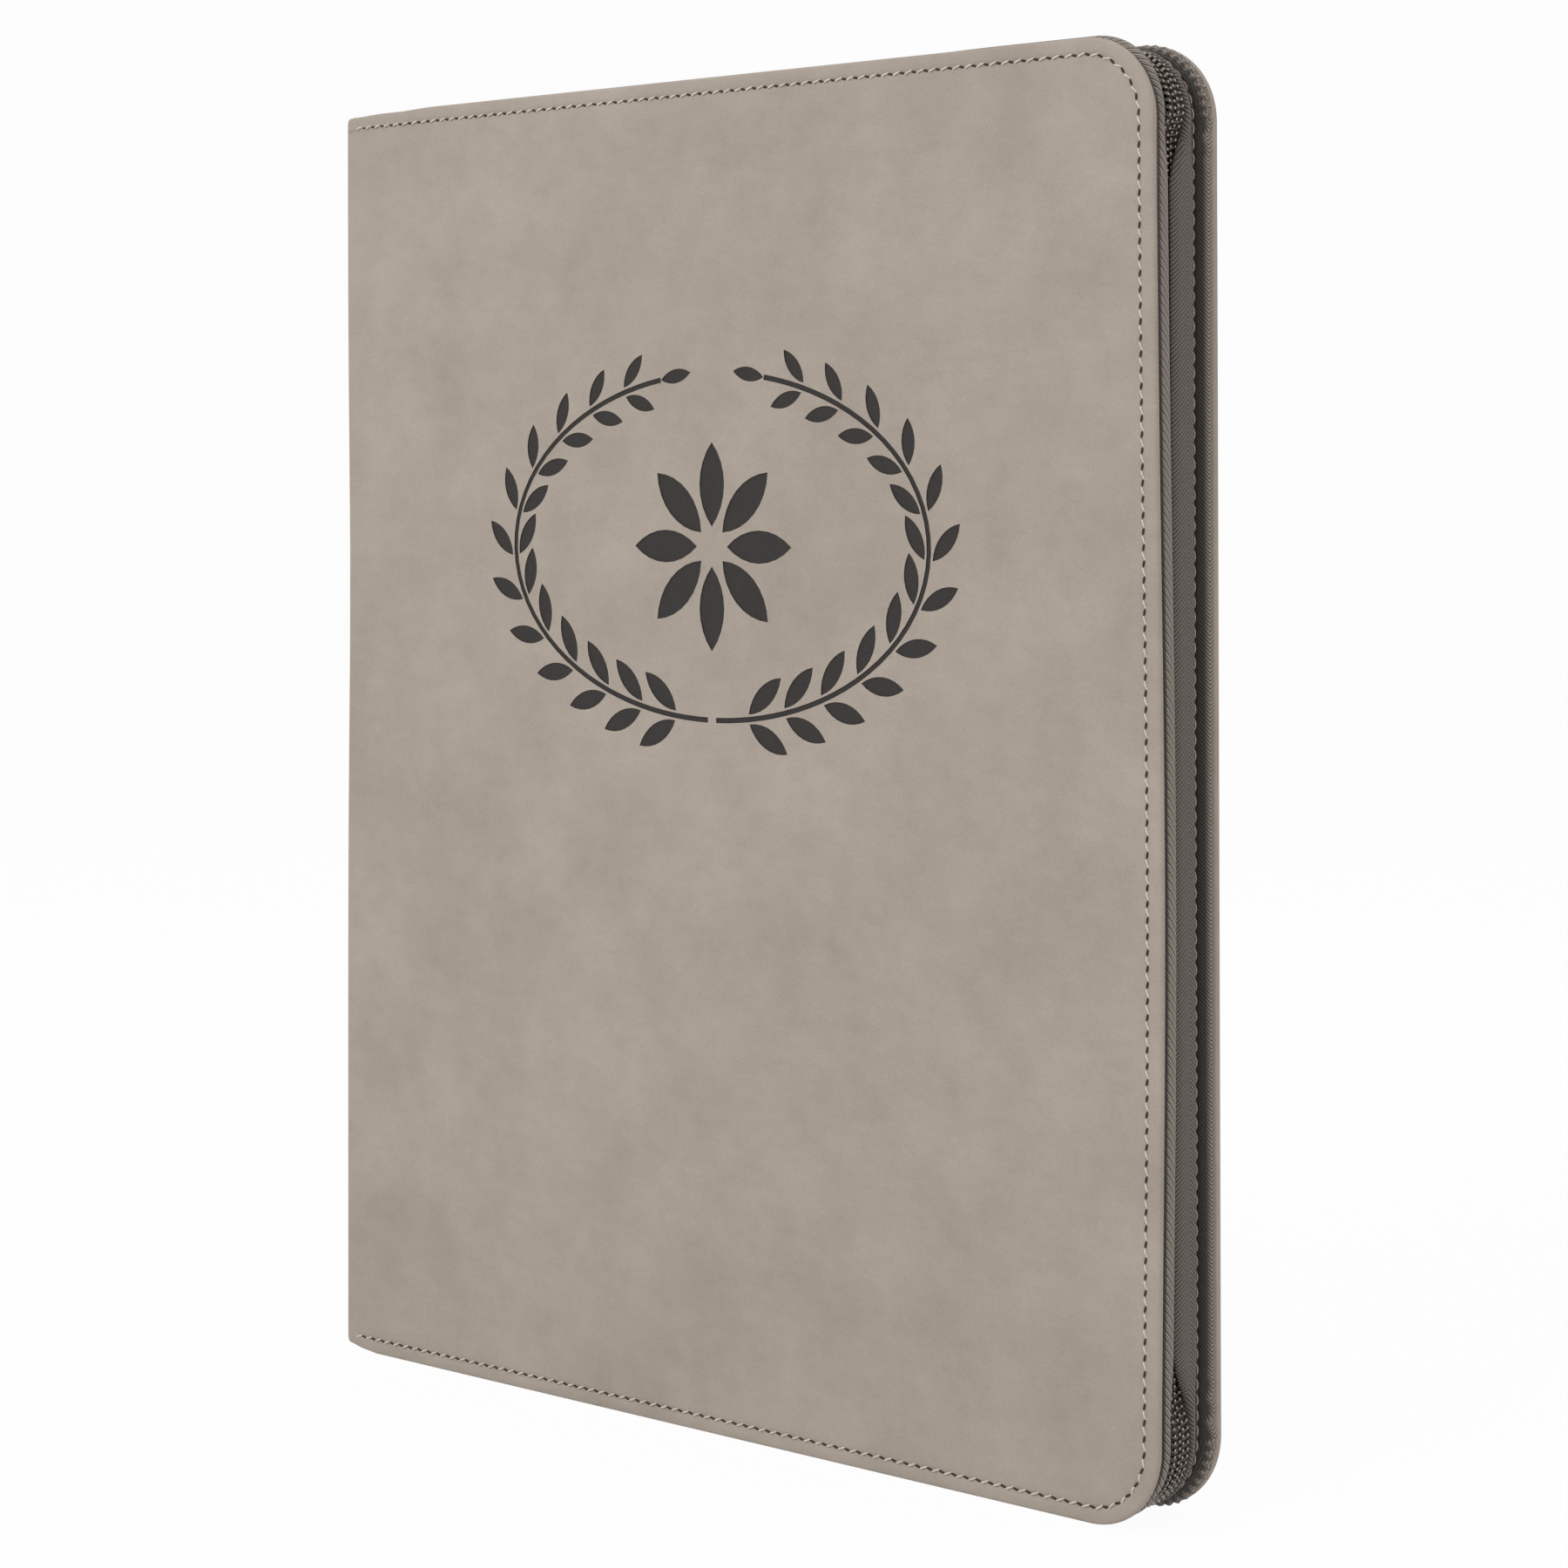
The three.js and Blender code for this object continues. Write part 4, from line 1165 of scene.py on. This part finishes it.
def ruled_paper():
    """Ruled lines run across the sheets' front, and fine layers show on the cut edges"""
    finish = Finish("ruled_paper", roughness=0.7)
    split = finish.add("ShaderNodeSeparateXYZ")
    finish.link(finish.place, split.inputs[0])
    facing = finish.add("ShaderNodeNewGeometry").outputs["Normal"]
    normal = finish.add("ShaderNodeSeparateXYZ")
    finish.link(facing, normal.inputs[0])
    on_face = finish.math("LESS_THAN", normal.outputs[1], -0.9)
    rule = finish.math("FRACT", finish.math("DIVIDE", split.outputs[2], rule_spacing))
    line = finish.math("MULTIPLY", finish.math("LESS_THAN", rule, 0.045), on_face)
    layers = finish.math("SINE", finish.math("MULTIPLY", split.outputs[1], 2 * math.pi / (0.22 * mm)))
    fibre = finish.noise(2 * mm, detail=3)
    sheet = finish.ramp(fibre, srgb(240, 237, 228), srgb(247, 244, 237))
    edge = finish.mix(finish.math("MULTIPLY_ADD", layers, 0.3, 0.4), sheet, srgb(196, 190, 178))
    colour = finish.mix(on_face, edge, sheet)
    colour = finish.mix(line, colour, srgb(150, 172, 196))
    return finish.done(colour, finish.bump(layers, 0.03 * mm, 0.5))


def ribbed(name, low, high, pitch, axis):
    """Cloth with fine ribs: gummed binding tape, or the elastic of the pen loop"""
    finish = Finish(name, roughness=0.75, Sheen_Weight=0.2)
    split = finish.add("ShaderNodeSeparateXYZ")
    finish.link(finish.place, split.inputs[0])
    rib = finish.math("SINE", finish.math("MULTIPLY", split.outputs[axis], 2 * math.pi / pitch))
    height_share = finish.math("MULTIPLY_ADD", rib, 0.3, 0.3)
    fuzz = finish.math("MULTIPLY_ADD", finish.noise(0.3 * mm), 0.4, height_share)
    return finish.done(finish.ramp(fuzz, low, high, 0.1, 0.9), finish.bump(rib, 0.08 * mm, 0.8))


lining_thread_material = plain("lining_thread", srgb(96, 89, 82), 0.7)
lining_material = lining_twill()
pocket_material = pocket_leatherette()
paper_material = ruled_paper()
card_material = plain("grey_board", srgb(168, 158, 144), 0.9)
binding_material = ribbed("gummed_cloth", srgb(26, 26, 28), srgb(48, 48, 50), 0.5 * mm, 0)
elastic_material = ribbed("elastic", srgb(20, 20, 20), srgb(52, 50, 48), 0.9 * mm, 2)
for names, material in ((("front_lining", "back_lining", "spine_lining"), lining_material),
                        (("front_board", "back_board"), card_material)):
    for name in names:
        frame["nodes"][name].data.materials.clear()
        frame["nodes"][name].data.materials.append(material)
    print(material.name, "on", ", ".join(names))

# %% [markdown]
# The pad is a block of sheets glued to a grey board and bound over its head with gummed cloth. The
# loop is a band of flat elastic. All of them are cut or folded with small radii, so they are rounded
# copies too.

# %% The pad and the pen loop
rounded_copy("pad_sheets", "sheets", 0.12 * mm, "back", paper_material)
rounded_copy("pad_backing", "backing", 0.2 * mm, "back", card_material)
rounded_copy("pad_binding", "binding", 0.2 * mm, "back", binding_material)
rounded_copy("pen_loop", "elastic_loop", 0.25 * mm, "back", elastic_material)

# %% [markdown]
# A pocket is a panel of thin leatherette, folded over at its mouth and sewn down on three sides. The
# insets draw its folded edge and the valley of its seam, a slim rod rounds its mouth, and the cover's
# stitch unit, made finer, gives the seam.

# %% Pockets
pocket_margin = [(0.12, 0.1), (0.25, 0.08), (0.95, 0.0), (0.35, -0.1), (0.3, -0.02), (0.35, 0.1)]
pocket_seam_inset, pocket_seam_end = 1.9 * mm, 2 * mm
mouth_swell, mouth_drop, mouth_short = 0.1 * mm, 0.5 * mm, 1.2 * mm


def pocket(node, name, body, facing):
    """A panel sewn on three sides. facing is 1 towards the front and -1 towards the back"""
    low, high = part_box(node)
    wide, tall, deep = high.x - low.x, high.z - low.z, high.y - low.y
    centre = ((low.x + high.x) / 2, (low.z + high.z) / 2)
    raise_all = sum(lift for inset, lift in pocket_margin) * mm
    piece = flat_sheet(name, centre, -raise_all, wide, tall)
    edit_all(piece)
    inset_steps(pocket_margin)
    leave_edit()
    solid = piece.modifiers.new("thickness", "SOLIDIFY")
    solid.thickness = deep - raise_all
    solid.offset = -1
    apply_modifiers(piece)
    bpy.ops.mesh.primitive_cylinder_add(vertices=12, radius=deep / 2 + mouth_swell,
                                        depth=wide - 2 * mouth_short,
                                        location=(centre[0], high.z - mouth_drop, -deep / 2),
                                        rotation=(0, math.pi / 2, 0))
    round_edges(bpy.context.object, 0.15 * mm, 1, 60)
    piece.select_set(True)
    bpy.context.view_layer.objects.active = piece
    bpy.ops.object.join()
    smooth(piece, 50)
    left, right = low.x + pocket_seam_inset, high.x - pocket_seam_inset
    foot, mouth = low.z + pocket_seam_inset, high.z - pocket_seam_end
    rows = stitch_unit(f"{name}_stitches", length=2.4 * mm, width=0.34 * mm, slant=0.1 * mm, lift=0.1 * mm)
    lay_along(rows, stitch_pitch, [(left, mouth), (left, foot), (right, foot), (right, mouth)], -0.05 * mm)
    for part, material, slot in ((piece, pocket_material, "lining"),
                                 (rows, lining_thread_material, "thread")):
        if facing < 0:
            turned_over(part)
        for vertex in part.data.vertices:
            vertex.co.z += -low.y if facing > 0 else -high.y
        paint(part, material)
        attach(stand_up(part), body)
    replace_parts(piece, node)
    print(name, round(wide / mm, 1), "by", round(tall / mm, 1), "mm")


pocket("document_pocket", "document_panel", "front", -1)
for layer in ("back", "middle", "front"):
    pocket(f"card_pocket_{layer}", f"card_panel_{layer}", "front", -1)
pocket("pad_pocket", "pad_panel", "back", 1)

# %% [markdown]
# ## Floor, light and camera
# The photograph has a plain white ground. A wide pale floor has a wall behind and one to the left,
# and shows white to the camera, whatever light falls on it. A sky picture would be the other way, but
# the plain floor keeps the portfolio's soft shadow.

# %% Floor and backdrop
floor_size, wall_height = 6, 4
ground_white = 0.96


def backdrop():
    floor = flat_sheet("floor", (0, 0), 0, floor_size, floor_size)
    edit_all(floor)
    beyond = floor_size / 2 - 0.1
    for edge_of_wall in (lambda c: c.y > beyond, lambda c: c.x < -beyond and abs(c.z) < 0.01):
        select_edges(floor, edge_of_wall)
        bpy.ops.mesh.extrude_edges_move(TRANSFORM_OT_translate={"value": (0, 0, wall_height)})
    leave_edit()
    floor.data.materials.append(white_ground())


def white_ground():
    """Pale and plain for the light, and an even white for the camera, metal and glass"""
    material = bpy.data.materials.new("backdrop")
    material.use_nodes = True
    tree = material.node_tree
    shader = tree.nodes["Principled BSDF"]
    shader.inputs["Base Color"].default_value = (0.86, 0.86, 0.86, 1)
    shader.inputs["Roughness"].default_value = 0.9
    glow = tree.nodes.new("ShaderNodeEmission")
    glow.inputs["Strength"].default_value = 1.0
    rays = tree.nodes.new("ShaderNodeLightPath")
    mix = tree.nodes.new("ShaderNodeMixShader")
    seen = rays.outputs["Is Camera Ray"]
    for operation, other in (("MAXIMUM", rays.outputs["Is Glossy Ray"]),
                             ("MAXIMUM", rays.outputs["Is Transmission Ray"]),
                             ("MULTIPLY", ground_white)):
        step = tree.nodes.new("ShaderNodeMath")
        step.operation = operation
        tree.links.new(seen, step.inputs[0])
        if isinstance(other, float):
            step.inputs[1].default_value = other
        else:
            tree.links.new(other, step.inputs[1])
        seen = step.outputs[0]
    tree.links.new(seen, mix.inputs[0])
    tree.links.new(shader.outputs[0], mix.inputs[1])
    tree.links.new(glow.outputs[0], mix.inputs[2])
    tree.links.new(mix.outputs[0], tree.nodes["Material Output"].inputs["Surface"])
    return material


backdrop()

# %% [markdown]
# Three large soft lamps and an even world give the flat daylight of the photograph: the front cover
# is a little brighter than the zip side, and no edge throws a hard shadow. The camera stands as a
# fit to the cover's four corners placed it, with a long lens and a small shift.

# %% Lamps and world
lamp_aim = Vector((0, 0, 150 * mm))


def lamp(name, place, size, power):
    data = bpy.data.lights.new(name, "AREA")
    data.size = size
    data.energy = power
    light = new_piece(name, data)
    light.location = place
    light.rotation_euler = (lamp_aim - Vector(place)).to_track_quat("-Z", "Y").to_euler()


lamp("key", (-0.5, -1.9, 1.3), 1.4, 24)
lamp("fill", (1.9, -0.9, 0.8), 1.0, 9)
lamp("top", (0.2, 0.3, 1.9), 1.2, 9)
world = bpy.data.worlds.new("studio")
bpy.context.scene.world = world
world.use_nodes = True
air = world.node_tree.nodes["Background"]
air.inputs["Color"].default_value = (1, 1, 1, 1)
air.inputs["Strength"].default_value = 0.45
bpy.context.scene.view_settings.view_transform = "Standard"

# %% Camera
camera_data = bpy.data.cameras.new("camera")
camera_data.lens = 79.065
camera_data.sensor_width = 36
camera_data.shift_y = -0.2142
camera = new_piece("camera", camera_data)
camera.location = (0.515816, -0.588655, 0.212308)
turn, tilt, roll = math.radians(40.5648), math.radians(90 + 0.6512), math.radians(-0.1024)
aim = Matrix.Rotation(turn, 3, "Z") @ Matrix.Rotation(tilt, 3, "X") @ Matrix.Rotation(roll, 3, "Z")
camera.rotation_euler = aim.to_euler()
bpy.context.scene.camera = camera
print("camera", round(camera.location.length, 3), "m from the portfolio's foot")
